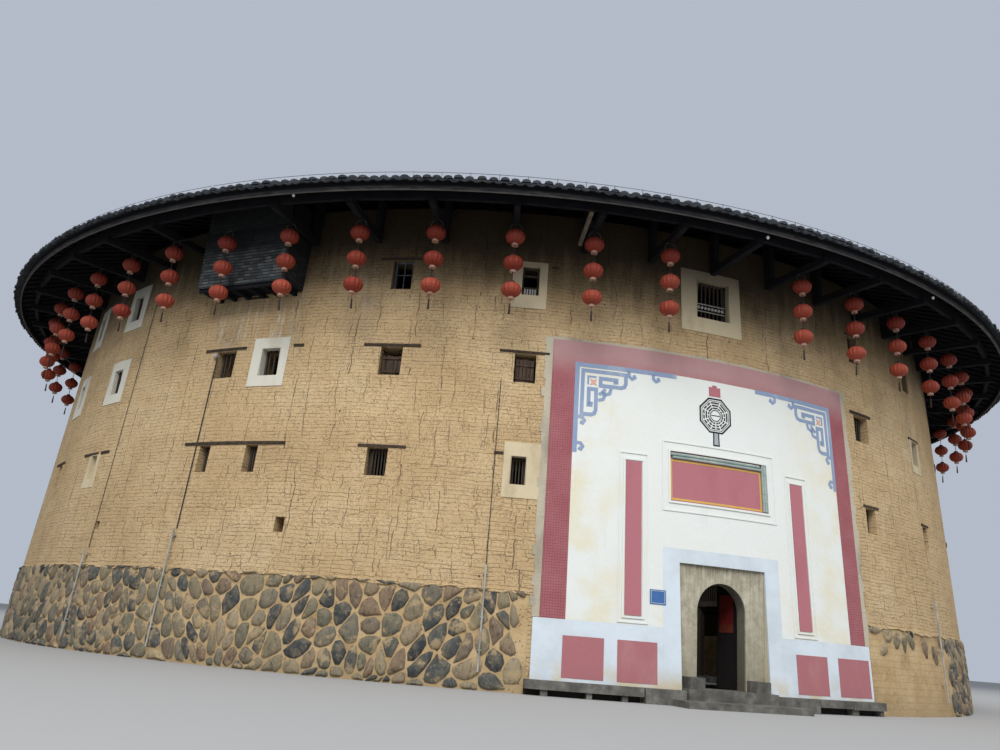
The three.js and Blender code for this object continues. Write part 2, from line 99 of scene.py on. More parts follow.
def seat(bearing, z, out=0.0, lean=BATTER):
    """Axes of a spot on the wall: x to the right, y into the wall and z up along its leaning face."""
    turn = math.radians(bearing)
    right = Vector((math.cos(turn), math.sin(turn), 0))
    outward = Vector((math.sin(turn), -math.cos(turn), 0))
    up = (Vector((0, 0, 1)) - lean * outward).normalized()
    inward = up.cross(right)
    spot = place(wall_radius(z), bearing, z) - inward * out
    return Matrix.Translation(spot) @ Matrix((right, inward, up)).transposed().to_4x4()


print("ridge height above the sill, m:", round(RIDGE_TOP, 2))

# %% [markdown]
# ## Helpers for pieces
#
# Every new piece starts as a bmesh, made with Blender's own mesh operators. `finish_piece` turns it into an
# object at the origin, halves it, points its faces outwards and lets it ride on the house.

# %% Helpers for pieces


def block(bm, size, matrix=Matrix(), offset=(0, 0, 0)):
    """Adds a box of a size, centred on an offset in a frame of axes."""
    shape = Matrix.Translation(offset) @ Matrix.Diagonal((*size, 1))
    bmesh.ops.create_cube(bm, size=1, matrix=matrix @ shape)


def cone(bm, segments, low, high, depth, matrix, capped=True):
    """Adds a cone, or a cylinder where both radii are alike, along the z axis of a frame of axes."""
    return bmesh.ops.create_cone(bm, segments=segments, radius1=low, radius2=high, depth=depth, cap_ends=capped,
                                 matrix=matrix)["verts"]


def extruded(bm, faces):
    """Extrudes faces as one region and gives the points that are new."""
    made = bmesh.ops.extrude_face_region(bm, geom=faces)["geom"]
    return [piece for piece in made if isinstance(piece, bmesh.types.BMVert)]


def dress(names, material):
    """Gives solids of the frame a material of this lesson."""
    for name in names:
        nodes[name].data.materials.clear()
        nodes[name].data.materials.append(material)


def finish_piece(name, bm, material, body="house", smooth=False):
    """Makes an object of a bmesh in real metres and lets it ride on a body of the frame."""
    bmesh.ops.recalc_face_normals(bm, faces=bm.faces)
    bmesh.ops.scale(bm, vec=(HALF,) * 3, verts=bm.verts)
    mesh = bpy.data.meshes.new(name)
    bm.to_mesh(mesh)
    bm.free()
    return add_mesh(name, mesh, material, body, smooth)


def add_mesh(name, mesh, material, body="house", smooth=False):
    """Links a finished mesh, gives it its material or materials and its body."""
    for one in material if isinstance(material, (list, tuple)) else [material]:
        mesh.materials.append(one)
    mesh.polygons.foreach_set("use_smooth", [smooth] * len(mesh.polygons))
    piece = bpy.data.objects.new(name, mesh)
    bpy.context.scene.collection.objects.link(piece)
    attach(piece, body)
    triangles = sum(len(p.vertices) - 2 for p in mesh.polygons)
    print(f"{name}: {triangles} triangles")
    return piece


def repeat(bm, matrices):
    """Joined copies of a small bmesh, one for each matrix, as one mesh in half size, with a `tint` for each."""
    bmesh.ops.recalc_face_normals(bm, faces=bm.faces)
    points = np.array([v.co[:] + (1.0,) for v in bm.verts])
    for i, vert in enumerate(bm.verts):
        vert.index = i
    faces = [[v.index for v in face.verts] for face in bm.faces]
    kinds = [face.material_index for face in bm.faces]
    placed = np.concatenate([points @ np.array(m).T[:, :3] for m in matrices]) * HALF
    sides = np.array([len(face) for face in faces])
    corners = np.concatenate(faces)
    count, step = len(matrices), len(points)
    mesh = bpy.data.meshes.new("repeat")
    mesh.vertices.add(len(placed))
    mesh.vertices.foreach_set("co", placed.astype(np.float32).ravel())
    loops = (corners[None, :] + step * np.arange(count)[:, None]).ravel()
    mesh.loops.add(len(loops))
    mesh.loops.foreach_set("vertex_index", loops.astype(np.int32))
    mesh.polygons.add(len(sides) * count)
    starts = np.concatenate([[0], np.cumsum(np.tile(sides, count))[:-1]])
    mesh.polygons.foreach_set("loop_start", starts.astype(np.int32))
    mesh.polygons.foreach_set("material_index", np.tile(kinds, count).astype(np.int32))
    mesh.update(calc_edges=True)
    tint = mesh.attributes.new("tint", "FLOAT", "POINT")
    shades = np.random.default_rng(7).random(count)
    tint.data.foreach_set("value", np.repeat(shades, step).astype(np.float32))
    bm.free()
    return mesh


def ring_turn(bearing):
    """Turns what is made at bearing 0 to another bearing."""
    return Matrix.Rotation(math.radians(bearing), 4, "Z")


def spun_ring(bm, outline, steps=2 * FACETS):
    """A ring round the house's axis from a closed outline of (radius, height) points."""
    verts = [bm.verts.new(place(radius, 0, z)) for radius, z in outline]
    edges = [bm.edges.new(pair) for pair in zip(verts, verts[1:] + verts[:1])]
    bmesh.ops.spin(bm, geom=verts + edges, cent=(0, 0, 0), axis=(0, 0, 1), angle=math.tau,
                   steps=steps, use_merge=True)


# %% [markdown]
# ## Helpers for materials
#
# Materials are networks of small nodes. A short class that adds a node and links its inputs in one call keeps
# each recipe readable. Patterns read Object coordinates, which are the model's own metres, so a pattern keeps
# its size and place from every side.

# %% Helpers for materials


class Recipe:
    """A material that is built up node by node. Each method adds a node and gives its output."""

    def __init__(self, name, roughness=0.9, specular=0.3, metallic=0.0):
        self.material = bpy.data.materials.new(name)
        self.material.use_nodes = True
        self.tree = self.material.node_tree
        self.tree.nodes.clear()
        self.shader = self.node("ShaderNodeBsdfPrincipled", Roughness=roughness, Specular_IOR_Level=specular,
                                Metallic=metallic)
        self.node("ShaderNodeOutputMaterial", Surface=self.shader.outputs["BSDF"])
        self.object = self.node("ShaderNodeTexCoord").outputs["Object"]

    def node(self, kind, settings=None, **inputs):
        node = self.tree.nodes.new(kind)
        for key, value in (settings or {}).items():
            setattr(node, key, value)
        for key, value in inputs.items():
            self.put(node.inputs[key.replace("_", " ")], value)
        return node

    def put(self, socket, value):
        """Links another node's output to a socket, or sets a plain value there."""
        if isinstance(value, bpy.types.NodeSocket):
            self.tree.links.new(value, socket)
        else:
            socket.default_value = (*value, 1) if socket.type == "RGBA" else value

    def math(self, operation, *values):
        node = self.node("ShaderNodeMath", {"operation": operation})
        for socket, value in zip(node.inputs, values):
            self.put(socket, value)
        return node.outputs[0]

    def times(self, first, second):
        return self.math("MULTIPLY", first, second)

    def plus(self, first, second):
        return self.math("ADD", first, second)

    def minus(self, first, second):
        return self.math("SUBTRACT", first, second)

    def axes(self):
        """X, Y and Z of the object's coordinates."""
        return self.node("ShaderNodeSeparateXYZ", Vector=self.object).outputs

    def scaled(self, scale):
        return self.node("ShaderNodeMapping", Vector=self.object, Scale=scale).outputs["Vector"]

    def noise(self, scale, detail=3.0, roughness=0.55, vector=None):
        return self.node("ShaderNodeTexNoise", Vector=vector or self.object, Scale=scale,
                         Detail=detail, Roughness=roughness).outputs["Fac"]

    def dots(self, scale, core, rim):
        """Round spots at scattered points, full within a core and gone at a rim."""
        cells = self.node("ShaderNodeTexVoronoi", Vector=self.object, Scale=scale)
        return self.step(cells.outputs["Distance"], core, rim, 1.0, 0.0)

    def seams(self, dimensions, width, randomness=1.0, **spot):
        """Thin seams between the cells of a line (1D) or a plane (2D)."""
        cells = self.node("ShaderNodeTexVoronoi", {"feature": "DISTANCE_TO_EDGE", "voronoi_dimensions": dimensions},
                          Scale=1.0, Randomness=randomness, **spot)
        return self.step(cells.outputs["Distance"], 0.0, width, 1.0, 0.0)

    def lines(self, value, apart, width):
        """Even lines across a value."""
        return self.step(self.math("PINGPONG", value, apart / 2), 0.0, width, 1.0, 0.0)

    def step(self, value, low, high, to_low=0.0, to_high=1.0):
        """Goes smoothly from one value to another while the input goes from low to high."""
        return self.node("ShaderNodeMapRange", {"interpolation_type": "SMOOTHSTEP"}, Value=value, From_Min=low,
                         From_Max=high, To_Min=to_low, To_Max=to_high).outputs["Result"]

    def patchy(self, mask, scale, detail, *step):
        """Lets a mask through only in patches of noise."""
        return self.times(mask, self.step(self.noise(scale, detail), *step))

    def ramp(self, value, *stops):
        node = self.node("ShaderNodeValToRGB", Fac=value)
        elements = node.color_ramp.elements
        while len(elements) < len(stops):
            elements.new(0.5)
        for element, (position, colour) in zip(elements, stops):
            element.position = position
            element.color = (*colour, 1)
        return node.outputs["Color"]

    def mix(self, share, first, second):
        """Goes from the first colour to the second while the share goes from 0 to 1."""
        node = self.node("ShaderNodeMix", {"data_type": "RGBA"}, Factor=share)
        self.put(node.inputs[6], first)
        self.put(node.inputs[7], second)
        return node.outputs[2]

    def attribute(self, name):
        return self.node("ShaderNodeAttribute", {"attribute_name": name}).outputs["Fac"]

    def bump(self, height, distance):
        return self.node("ShaderNodeBump", Height=height, Distance=distance, Strength=1.0).outputs["Normal"]

    def done(self, colour, normal=None):
        self.put(self.shader.inputs["Base Color"], colour)
        if normal is not None:
            self.put(self.shader.inputs["Normal"], normal)
        return self.material


def bearing_of(recipe):
    """The bearing of a point, in degrees, from -180 to 180."""
    axes = recipe.axes()
    return recipe.times(recipe.math("ARCTAN2", axes["X"], recipe.times(axes["Y"], -1.0)), 180 / math.pi)


def radius_of(recipe):
    """The distance of a point from the house's axis, in metres of the model."""
    axes = recipe.axes()
    return recipe.math("SQRT", recipe.plus(*(recipe.math("POWER", axes[axis], 2.0) for axis in "XY")))


def between(recipe, value, low, high, soft):
    """1 where a value lies between two limits, with soft edges."""
    return recipe.times(recipe.step(value, low - soft, low + soft),
                        recipe.step(value, high - soft, high + soft, 1.0, 0.0))


def real_height(recipe):
    """Height above the sill, in metres of the real house."""
    return recipe.math("MULTIPLY_ADD", recipe.axes()["Z"], 1 / HALF, -SILL)


# %% [markdown]
# ## Camera and light
#
# The photograph looks up at the house from close by, a little left of the door. The camera's place and tilt
# were worked out from the curves of the ring. The light is a pale sky with one large soft lamp high in front
# and two weaker ones beside and behind, so that the eaves throw a soft shadow down the wall and stay dark
# themselves. The floor is kept a little darker than white, because what it throws back would light the eaves
# from below.

# %% Camera
CAMERA_BEARING = -18.42
CAMERA_DISTANCE = 40.76
CAMERA_HEIGHT = 0.724
CAMERA_PITCH, CAMERA_ROLL, CAMERA_YAW = (math.radians(v) for v in (16.98, 4.59, -0.50))
FOCAL_PIXELS, PICTURE_WIDTH, SENSOR = 871.7, 1000, 36.0

ahead = Vector((math.sin(CAMERA_YAW) * math.cos(CAMERA_PITCH), math.cos(CAMERA_YAW) * math.cos(CAMERA_PITCH),
                math.sin(CAMERA_PITCH)))
right = Vector((math.cos(CAMERA_YAW), -math.sin(CAMERA_YAW), 0))
up = right.cross(ahead)
across = right * math.cos(CAMERA_ROLL) + up * math.sin(CAMERA_ROLL)
upright = up * math.cos(CAMERA_ROLL) - right * math.sin(CAMERA_ROLL)
camera_axes = ring_turn(CAMERA_BEARING) @ Matrix((across, upright, -ahead)).transposed().to_4x4()

camera = bpy.data.objects.new("camera", bpy.data.cameras.new("camera"))
camera.data.sensor_width = SENSOR
camera.data.lens = FOCAL_PIXELS * SENSOR / PICTURE_WIDTH
camera.data.clip_end = 500
camera.matrix_world = Matrix.Translation(place(CAMERA_DISTANCE, CAMERA_BEARING, CAMERA_HEIGHT) * HALF) @ camera_axes
bpy.context.scene.collection.objects.link(camera)
bpy.context.scene.camera = camera
print("camera, m:", [round(v, 2) for v in camera.location])

# %% Light and floor
world = bpy.data.worlds.new("pale_sky")
world.use_nodes = True
sky = world.node_tree.nodes["Background"]
sky.inputs["Color"].default_value = (0.78, 0.86, 1.0, 1)
sky.inputs["Strength"].default_value = 0.58
bpy.context.scene.world = world
bpy.context.scene.view_settings.view_transform = "Standard"


def soft_lamp(name, bearing, distance, height, size, power):
    """A large square lamp that faces the middle of the house."""
    lamp = bpy.data.objects.new(name, bpy.data.lights.new(name, "AREA"))
    lamp.data.size = size
    lamp.data.energy = power
    lamp.location = place(distance, bearing, height) * HALF
    aim = Vector((0, 0, 3)) - lamp.location
    lamp.rotation_euler = aim.to_track_quat("-Z", "Y").to_euler()
    bpy.context.scene.collection.objects.link(lamp)


soft_lamp("front_lamp", -24, 84, 70, 30, 23500)
soft_lamp("side_lamp", 62, 80, 48, 30, 5200)
soft_lamp("back_lamp", 165, 80, 80, 30, 11000)

floor_bm = bmesh.new()
bmesh.ops.create_grid(floor_bm, x_segments=1, y_segments=1, size=400)
floor_mesh = bpy.data.meshes.new("floor")
floor_bm.to_mesh(floor_mesh)
floor_bm.free()
floor = bpy.data.objects.new("floor", floor_mesh)
bpy.context.scene.collection.objects.link(floor)
floor_recipe = Recipe("pale_floor", roughness=0.95, specular=0.1)
floor_mesh.materials.append(floor_recipe.done((0.36, 0.355, 0.345)))

# %% [markdown]
# ## Rammed earth
#
# The wall was rammed in lifts between boards, a forearm high, and each lift in thin layers. Its face shows a
# level joint at every lift, finer broken lines between, upright cracks that mostly stop at the joints, and
# small pits. Modelling them would take millions of faces for a few millimetres of depth, so they are made by
# nodes. The cracks come from cells that are looked up with the number of the lift instead of the height, so
# they run upright through one lift and start anew in the next. Low on the wall a faint net of finer cracks
# joins them. Under the eaves, and on the rooms' side of the wall, shade is painted into the earth's colour.

# %% Rammed earth
LIFT = 0.41
LAYERS = 4


def centred(r, scale, detail, reach, vector=None):
    """Noise about zero that reaches about this far to both sides."""
    return r.times(r.minus(r.noise(scale, detail, 0.6, vector), 0.5), 2 * reach)


def wall_vector(r, across, across_scale, upward, upward_scale):
    """A vector of a place along the wall and a height, each at a scale of its own."""
    return r.node("ShaderNodeCombineXYZ", X=r.times(across, across_scale), Y=r.times(upward, upward_scale),
                  Z=0.0).outputs["Vector"]


def upright_cracks(r, across, level, tall, wide, width):
    """Cracks that run upright through rows of a height, at random places in each row."""
    row = r.math("FLOOR", r.math("DIVIDE", level, tall))
    return r.seams("1D", width / wide, W=r.plus(r.times(row, 7.31), r.math("DIVIDE", across, wide)))


def rammed_earth():
    r = Recipe("rammed_earth", roughness=0.96, specular=0.12)
    z = real_height(r)
    across = r.times(bearing_of(r), math.radians(FOOT_RADIUS))
    level = r.plus(r.plus(z, centred(r, 1.1, 2, 0.09)), centred(r, 10, 4, 0.030))
    bent = r.plus(r.plus(across, centred(r, 2.0, 2, 0.14)), centred(r, 13, 4, 0.050))
    lift = r.math("FLOOR", r.math("DIVIDE", level, LIFT))
    dashes = r.noise(1.0, 4, 0.7, wall_vector(r, across, 3.2, z, 8.0))
    grain = r.noise(34, 4, 0.7)

    joints = r.times(r.lines(level, LIFT, 0.013), r.step(dashes, 0.36, 0.60, 0.15, 0.72))
    layers = r.times(r.lines(level, LIFT / LAYERS, 0.011), r.step(dashes, 0.36, 0.60, 0.12, 0.72))
    marks = r.math("MAXIMUM", joints, r.patchy(layers, 1.5, 3, 0.34, 0.56, 0.45, 1.0))
    net = r.seams("2D", 0.034, 0.42, Vector=wall_vector(r, bent, 2.3, level, 1 / LIFT))
    reach = r.math("MULTIPLY_ADD", centred(r, 0.5, 2, 1.0), 4.0, z)
    for mask, *patches in ((upright_cracks(r, bent, level, LIFT, 0.50, 0.011), 6, 3, 0.40, 0.62, 0.0, 0.65),
                           (upright_cracks(r, bent, level, 2.6 * LIFT, 0.85, 0.014), 3.4, 4, 0.40, 0.58, 0.0, 0.9),
                           (upright_cracks(r, bent, z, 6 * LIFT, 2.2, 0.022), 2.4, 4, 0.46, 0.58),
                           (r.dots(26, 0.10, 0.26), 9, 3, 0.47, 0.58, 0.0, 0.8),
                           (r.dots(48, 0.10, 0.32), 5, 3, 0.40, 0.58, 0.1, 0.8),
                           (r.dots(6.5, 0.06, 0.11), 2.2, 2, 0.56, 0.60),
                           (r.times(net, r.step(reach, 4.0, 9.5, 1.0, 0.3)), 7, 4, 0.42, 0.60, 0.0, 0.75)):
        marks = r.math("MAXIMUM", marks, r.patchy(mask, *patches))

    colour = r.ramp(r.noise(0.8, 5, 0.62), (0.30, (0.45, 0.310, 0.160)), (0.50, (0.55, 0.395, 0.215)),
                    (0.72, (0.63, 0.480, 0.285)))
    colour = r.mix(r.step(grain, 0.42, 0.66, 0.0, 0.56), colour, (0.31, 0.215, 0.115))
    tone = r.noise(1.0, 3, 0.6, wall_vector(r, across, 0.4, lift, 3.7))
    colour = r.mix(r.step(tone, 0.36, 0.64, 0.0, 0.30), colour, (0.41, 0.285, 0.150))
    colour = r.mix(r.step(z, 0.4, 4.0, 0.25, 0.0), colour, (0.44, 0.32, 0.185))
    colour = r.mix(r.times(marks, 0.94), colour, (0.090, 0.056, 0.030))
    colour = lime_runs(r, colour, z, across)
    colour = painted_wall_shade(r, colour, z)
    height = r.minus(r.times(grain, 0.8), marks)
    return r.done(colour, r.bump(height, 0.007))


def lime_runs(r, colour, z, across):
    """White runs of lime under the hanging room and beside one window of the fourth storey."""
    runs = r.noise(1.0, 4, 0.75, wall_vector(r, across, 7.0, z, 0.5))
    broken = r.step(r.noise(9, 4, 0.7), 0.38, 0.62, 0.35, 1.0)
    for start, end, foot, top, share in ((-46.8, -37.4, 8.2, 10.1, 0.75), (-33.4, -30.6, 8.7, 11.3, 0.35)):
        under = r.times(between(r, across, along(start), along(end), 0.3), between(r, z, foot, top, 0.5))
        share = r.times(r.times(under, broken), r.step(runs, 0.46, 0.66, 0.0, share))
        colour = r.mix(share, colour, (0.60, 0.56, 0.49))
    return colour


def painted_wall_shade(r, colour, z):
    """Painted shade: darker earth below the eaves, reaching down in streaks, and on the rooms' side of the wall."""
    streaks = centred(r, 1.0, 4, 0.55, r.scaled((7, 7, 0.8)))
    reach = r.plus(z, r.plus(streaks, centred(r, 0.7, 3, 0.5)))
    # The painted eave shade reaches a little lower left of the door and less far down right of it.
    reach = r.minus(reach, r.step(bearing_of(r), 2.0, 22.0, -0.15, 0.25))
    colour = r.mix(r.step(reach, 9.1, 11.7, 0.0, 0.95), colour, (0.020, 0.015, 0.010))
    # Near-black on the rooms' side of the wall: painted shade.
    inside = r.step(radius_of(r), (INNER_RADIUS + 0.05) * HALF, (INNER_RADIUS + 0.25) * HALF, 0.92, 0.0)
    return r.mix(inside, colour, (0.026, 0.020, 0.015))


earth = rammed_earth()
earth_nodes = [name for name in nodes if name.startswith(("earth_wall", "wall_"))]
dress(earth_nodes, earth)
print("rammed earth on", len(earth_nodes), "nodes")

# %% [markdown]
# ## Tiled roof
#
# The roof is laid with curved grey tiles: shallow pans in rows down the slope, with a row of cover tiles over
# each joint. A pan course is the same all the way round, so one stepped outline is spun round the axis. The
# cover rows are one row, extruded course by course, and repeated round the ring.

# %% Pan tiles, boards and fascia
PAN_DROP = 0.03
BOARD_DEPTH = 0.06
OUTER_COURSES, INNER_COURSES = 18, 13
FASCIA_RADIUS, FASCIA_FOOT = 20.99, 11.55


def inner_slope(radius):
    """Height of the inner roof's top at a radius."""
    return RIDGE_TOP - PITCH * (RIDGE_RADIUS - radius)


def stepped_outline(slope, eave, courses):
    """Outline of one roof slope from its eave to the ridge: a step for each course of tiles, boards below."""
    length = (RIDGE_RADIUS - eave) / courses
    outline = []
    for k in range(courses):
        foot = eave + k * length
        outline.append((foot, slope(foot) - PAN_DROP + 0.025))
        outline.append((foot + length, slope(foot + length) - PAN_DROP))
    outline.append((RIDGE_RADIUS, RIDGE_TOP - BOARD_DEPTH))
    outline.append((eave, slope(eave) - BOARD_DEPTH))
    return outline


def roof_tile():
    r = Recipe("roof_tile", roughness=0.82, specular=0.3)
    lap = r.math("FRACT", r.math("DIVIDE", radius_of(r), 0.06))
    worn = r.noise(2.4, 4, 0.6)
    colour = r.ramp(worn, (0.30, (0.009, 0.011, 0.015)), (0.55, (0.020, 0.024, 0.031)), (0.78, (0.050, 0.056, 0.067)))
    colour = r.mix(r.times(r.attribute("tint"), 0.45), colour, (0.045, 0.047, 0.050))
    colour = r.mix(r.step(r.noise(5.0, 5, 0.7), 0.56, 0.70, 0.0, 0.45), colour, (0.085, 0.085, 0.055))
    colour = r.mix(r.step(lap, 0.86, 0.99, 0.0, 0.6), colour, (0.015, 0.015, 0.016))
    height = r.plus(r.times(lap, -0.6), r.times(r.noise(60, 3), 0.3))
    return r.done(colour, r.bump(height, 0.008))


def soffit_timber(name, dark, pale):
    r = Recipe(name, roughness=0.88, specular=0.15)
    grain = r.noise(1.0, 4, 0.6, r.scaled((5, 5, 26)))
    colour = r.ramp(grain, (0.32, dark), (0.70, pale))
    return r.done(colour, r.bump(r.noise(30, 4), 0.004))


def fascia_wood():
    """Boards with painted light, paler along their foot, and painted shadow of the tiles along their top."""
    r = Recipe("grey_fascia", roughness=0.88, specular=0.15)
    grain = r.noise(1.0, 4, 0.6, r.scaled((5, 5, 26)))
    colour = r.ramp(grain, (0.34, (0.022, 0.021, 0.023)), (0.66, (0.100, 0.092, 0.089)))
    colour = r.mix(r.step(r.noise(0.8, 3), 0.40, 0.62, 0.0, 0.55), colour, (0.036, 0.034, 0.036))
    z = real_height(r)
    # Painted light: a pale band along the boards' foot.
    colour = r.mix(r.step(z, FASCIA_FOOT + 0.02, FASCIA_FOOT + 0.07, 0.55, 0.0), colour, (0.135, 0.122, 0.115))
    # Painted shadow of the tiles along the boards' top.
    colour = r.mix(r.step(z, 11.66, 11.72), colour, (0.009, 0.010, 0.013))
    return r.done(colour, r.bump(r.noise(30, 4), 0.004))


tile = roof_tile()
# Near-black boards and rafters under the roof: painted shade.
soffit = soffit_timber("boards_painted_shade", (0.006, 0.0065, 0.009), (0.011, 0.0115, 0.015))

bm = bmesh.new()
spun_ring(bm, stepped_outline(outer_slope, EAVE_RADIUS, OUTER_COURSES))
outer_pans = finish_piece("outer_pans", bm, tile)
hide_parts("outer_roof_front", "outer_roof_back")

bm = bmesh.new()
spun_ring(bm, stepped_outline(inner_slope, INNER_EAVE, INNER_COURSES))
inner_pans = finish_piece("inner_pans", bm, tile)
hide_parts("inner_roof")

bm = bmesh.new()
board_top = outer_slope(FASCIA_RADIUS) - BOARD_DEPTH - 0.01
spun_ring(bm, [(FASCIA_RADIUS - 0.04, FASCIA_FOOT + 0.03), (FASCIA_RADIUS, FASCIA_FOOT + 0.02),
               (FASCIA_RADIUS + 0.025, board_top), (FASCIA_RADIUS - 0.015, board_top)])
inner_foot = inner_slope(INNER_EAVE)
spun_ring(bm, [(INNER_EAVE + 0.10, inner_foot - 0.20), (INNER_EAVE + 0.14, inner_foot - 0.20),
               (INNER_EAVE + 0.14, inner_foot - 0.02), (INNER_EAVE + 0.10, inner_foot - 0.04)])
finish_piece("fascia_boards", bm, fascia_wood())

bm = bmesh.new()
BOARDS_FOOT, BOARDS_TOP = 0.075, 0.061  # depths of the boards' two faces below the roof's top
low_radius = INNER_EAVE + 0.10
spun_ring(bm, [(RIDGE_RADIUS, RIDGE_TOP - BOARDS_FOOT), (FASCIA_RADIUS, outer_slope(FASCIA_RADIUS) - BOARDS_FOOT),
               (FASCIA_RADIUS, outer_slope(FASCIA_RADIUS) - BOARDS_TOP), (RIDGE_RADIUS, RIDGE_TOP - BOARDS_TOP)])
spun_ring(bm, [(low_radius, inner_slope(low_radius) - BOARDS_FOOT), (RIDGE_RADIUS, RIDGE_TOP - BOARDS_FOOT),
               (RIDGE_RADIUS, RIDGE_TOP - BOARDS_TOP), (low_radius, inner_slope(low_radius) - BOARDS_TOP)])
finish_piece("roof_boards", bm, soffit)

# %% Rows of cover tiles
COVER_SHARE = 0.42                      # half a cover's width, as a share of the rows' distance
COVER_RISE = 0.085
COVER_STEP = 0.022                      # how far a cover's foot stands above the one below it
OUTER_ROWS, INNER_ROWS = 476, 342


def cover_row(slope, eave, ridge, courses, rows):
    """One row of cover tiles at bearing 0, extruded from its foot at the eave up to the ridge."""
    bm = bmesh.new()
    half, radius = COVER_SHARE * math.tau * eave / rows, eave
    arch = [(half * x, COVER_RISE * z) for x, z in ((-1, 0), (-0.74, 0.72), (0, 1), (0.74, 0.72), (1, 0))]
    sign = 1 if eave > ridge else -1
    lift = slope(eave) - PAN_DROP + COVER_STEP
    verts = [bm.verts.new((x, -eave, SILL + lift + rise)) for x, rise in arch]
    face = bm.faces.new(verts)
    length = (ridge - eave) / courses
    for k in range(courses):
        for run, drop in ((length, COVER_STEP), (0.0, -COVER_STEP)):
            if k == courses - 1 and not run:
                break
            made = bmesh.ops.extrude_face_region(bm, geom=[face])
            face = next(g for g in made["geom"] if isinstance(g, bmesh.types.BMFace))
            rise = -PITCH * run * sign - drop
            bmesh.ops.translate(bm, vec=(0, -run, rise), verts=face.verts)
            bmesh.ops.scale(bm, vec=((radius + run) / radius, 1, 1), verts=face.verts)
            radius += run
    under = [f for f in bm.faces if all(abs(v.co.x) > 0.9 * half * -v.co.y / eave for v in f.verts)]
    bmesh.ops.delete(bm, geom=under, context="FACES_ONLY")
    return bm


def loose_turns(rows, start):
    """Places round the ring, each a little out of line, as hand-laid tiles are."""
    draw = tile_rng.uniform
    return [ring_turn((k + start + draw(-0.13, 0.13)) * 360 / rows)
            @ Matrix.Translation((0, draw(-0.02, 0.035), draw(-0.008, 0.016))) for k in range(rows)]


tile_rng = random.Random(21)
for name, slope, eave, courses, rows in (
        ("outer_covers", outer_slope, EAVE_RADIUS + 0.02, OUTER_COURSES, OUTER_ROWS),
        ("inner_covers", inner_slope, INNER_EAVE - 0.02, INNER_COURSES, INNER_ROWS)):
    bm = cover_row(slope, eave, RIDGE_RADIUS, courses, rows)
    add_mesh(name, repeat(bm, loose_turns(rows, 0.0)), tile)

# %% Ends of the pan tiles along the eaves


def pan_end(slope, eave, width):
    """The curved front of one pan tile, which hangs below its neighbours' covers."""
    bm = bmesh.new()
    made = bmesh.ops.create_grid(bm, x_segments=4, y_segments=1, size=0.5)
    for vert in made["verts"]:
        across, along = vert.co.x * 2, vert.co.y
        sag = 0.055 * (1 - across * across)
        vert.co = (across * width / 2, -eave - 0.05 * along * (1 if eave > RIDGE_RADIUS else -1),
                   SILL + slope(eave) - PAN_DROP - sag)
    bmesh.ops.solidify(bm, geom=list(bm.faces), thickness=0.022)
    return bm


for name, slope, eave, rows in (("outer_pan_ends", outer_slope, EAVE_RADIUS, OUTER_ROWS),
                                ("inner_pan_ends", inner_slope, INNER_EAVE, INNER_ROWS)):
    bm = pan_end(slope, eave, math.tau * eave / rows * 0.95)
    add_mesh(name, repeat(bm, loose_turns(rows, 0.5)), tile)

# %% Ridge of stacked tiles
bm = bmesh.new()
RIDGE_FOOT, RIDGE_COURSE = -0.10, 0.075
stack = []
for k, half in enumerate((0.26, 0.22, 0.18, 0.15)):
    stack += [(half, RIDGE_FOOT + RIDGE_COURSE * k), (half, RIDGE_FOOT + RIDGE_COURSE * (k + 1) - 0.01)]
left_side = [(RIDGE_RADIUS - half, RIDGE_TOP + rise) for half, rise in stack]
right_side = [(RIDGE_RADIUS + half, RIDGE_TOP + rise) for half, rise in reversed(stack)]
spun_ring(bm, left_side + right_side)
ridge = finish_piece("ridge_stack", bm, tile)
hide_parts("ridge_cap")

# %% Rafters
RAFTERS = 4 * BRACKETS


def rafter(low_radius, high_radius, slope):
    """A rafter at bearing 0 that follows the slope between two radii."""
    bm = bmesh.new()
    middle = (low_radius + high_radius) / 2
    run = abs(high_radius - low_radius)
    tilt = math.atan(PITCH) if low_radius > high_radius else -math.atan(PITCH)
    centre = place(middle, 0, slope(middle) - 0.112)
    block(bm, (0.09, run / math.cos(tilt), 0.074), Matrix.Translation(centre) @ Matrix.Rotation(tilt, 4, "X"))
    return bm


turns = [ring_turn((k + 0.5) * 360 / RAFTERS) for k in range(RAFTERS)]
for name, low, high, slope in (("outer_rafters", FASCIA_RADIUS - 0.05, RIDGE_RADIUS + 0.1, outer_slope),
                               ("inner_rafters", INNER_EAVE + 0.15, RIDGE_RADIUS - 0.1, inner_slope)):
    add_mesh(name, repeat(rafter(low, high, slope), turns), soffit)

# %% [markdown]
# ## Timbers, lanterns and the hanging room
#
# The timbers under the eaves keep their solids and get a near-black wood, which paints the shade they stand
# in. The lanterns are cloth on wire hoops: a sphere with every other meridian drawn in, squashed, with a cap
# above and below. One lantern and one tassel are made, then repeated on the strings.

# %% Timber finishes
# Near-black wood for the timbers under the eaves, the hanging room and the pole: painted shade.
dark_wood = soffit_timber("dark_wood", (0.005, 0.0055, 0.007), (0.012, 0.012, 0.015))
pale_wood = soffit_timber("pale_strut", (0.16, 0.13, 0.10), (0.30, 0.26, 0.20))


def weathered_wood(name, low, high):
    r = Recipe(name, roughness=0.85, specular=0.2)
    grain = r.noise(1.0, 5, 0.65, r.scaled((30, 30, 3)))
    colour = r.mix(r.step(r.noise(1.2, 3), 0.35, 0.7, 0.0, 0.6), r.ramp(grain, (0.3, low), (0.72, high)), low)
    return r.done(colour, r.bump(grain, 0.003))


grey_wood = weathered_wood("grey_wood", (0.030, 0.023, 0.017), (0.095, 0.074, 0.054))
# The door leaves and the head beam are near black: painted shade of the passage.
door_wood = weathered_wood("door_wood", (0.006, 0.005, 0.005), (0.018, 0.013, 0.011))
for starts, wood in (("eaves_timbers", dark_wood), (("gallery", "floor_"), grey_wood),
                     (("door_leaf", "door_head"), door_wood)):
    dress([name for name in nodes if name.startswith(starts)], wood)

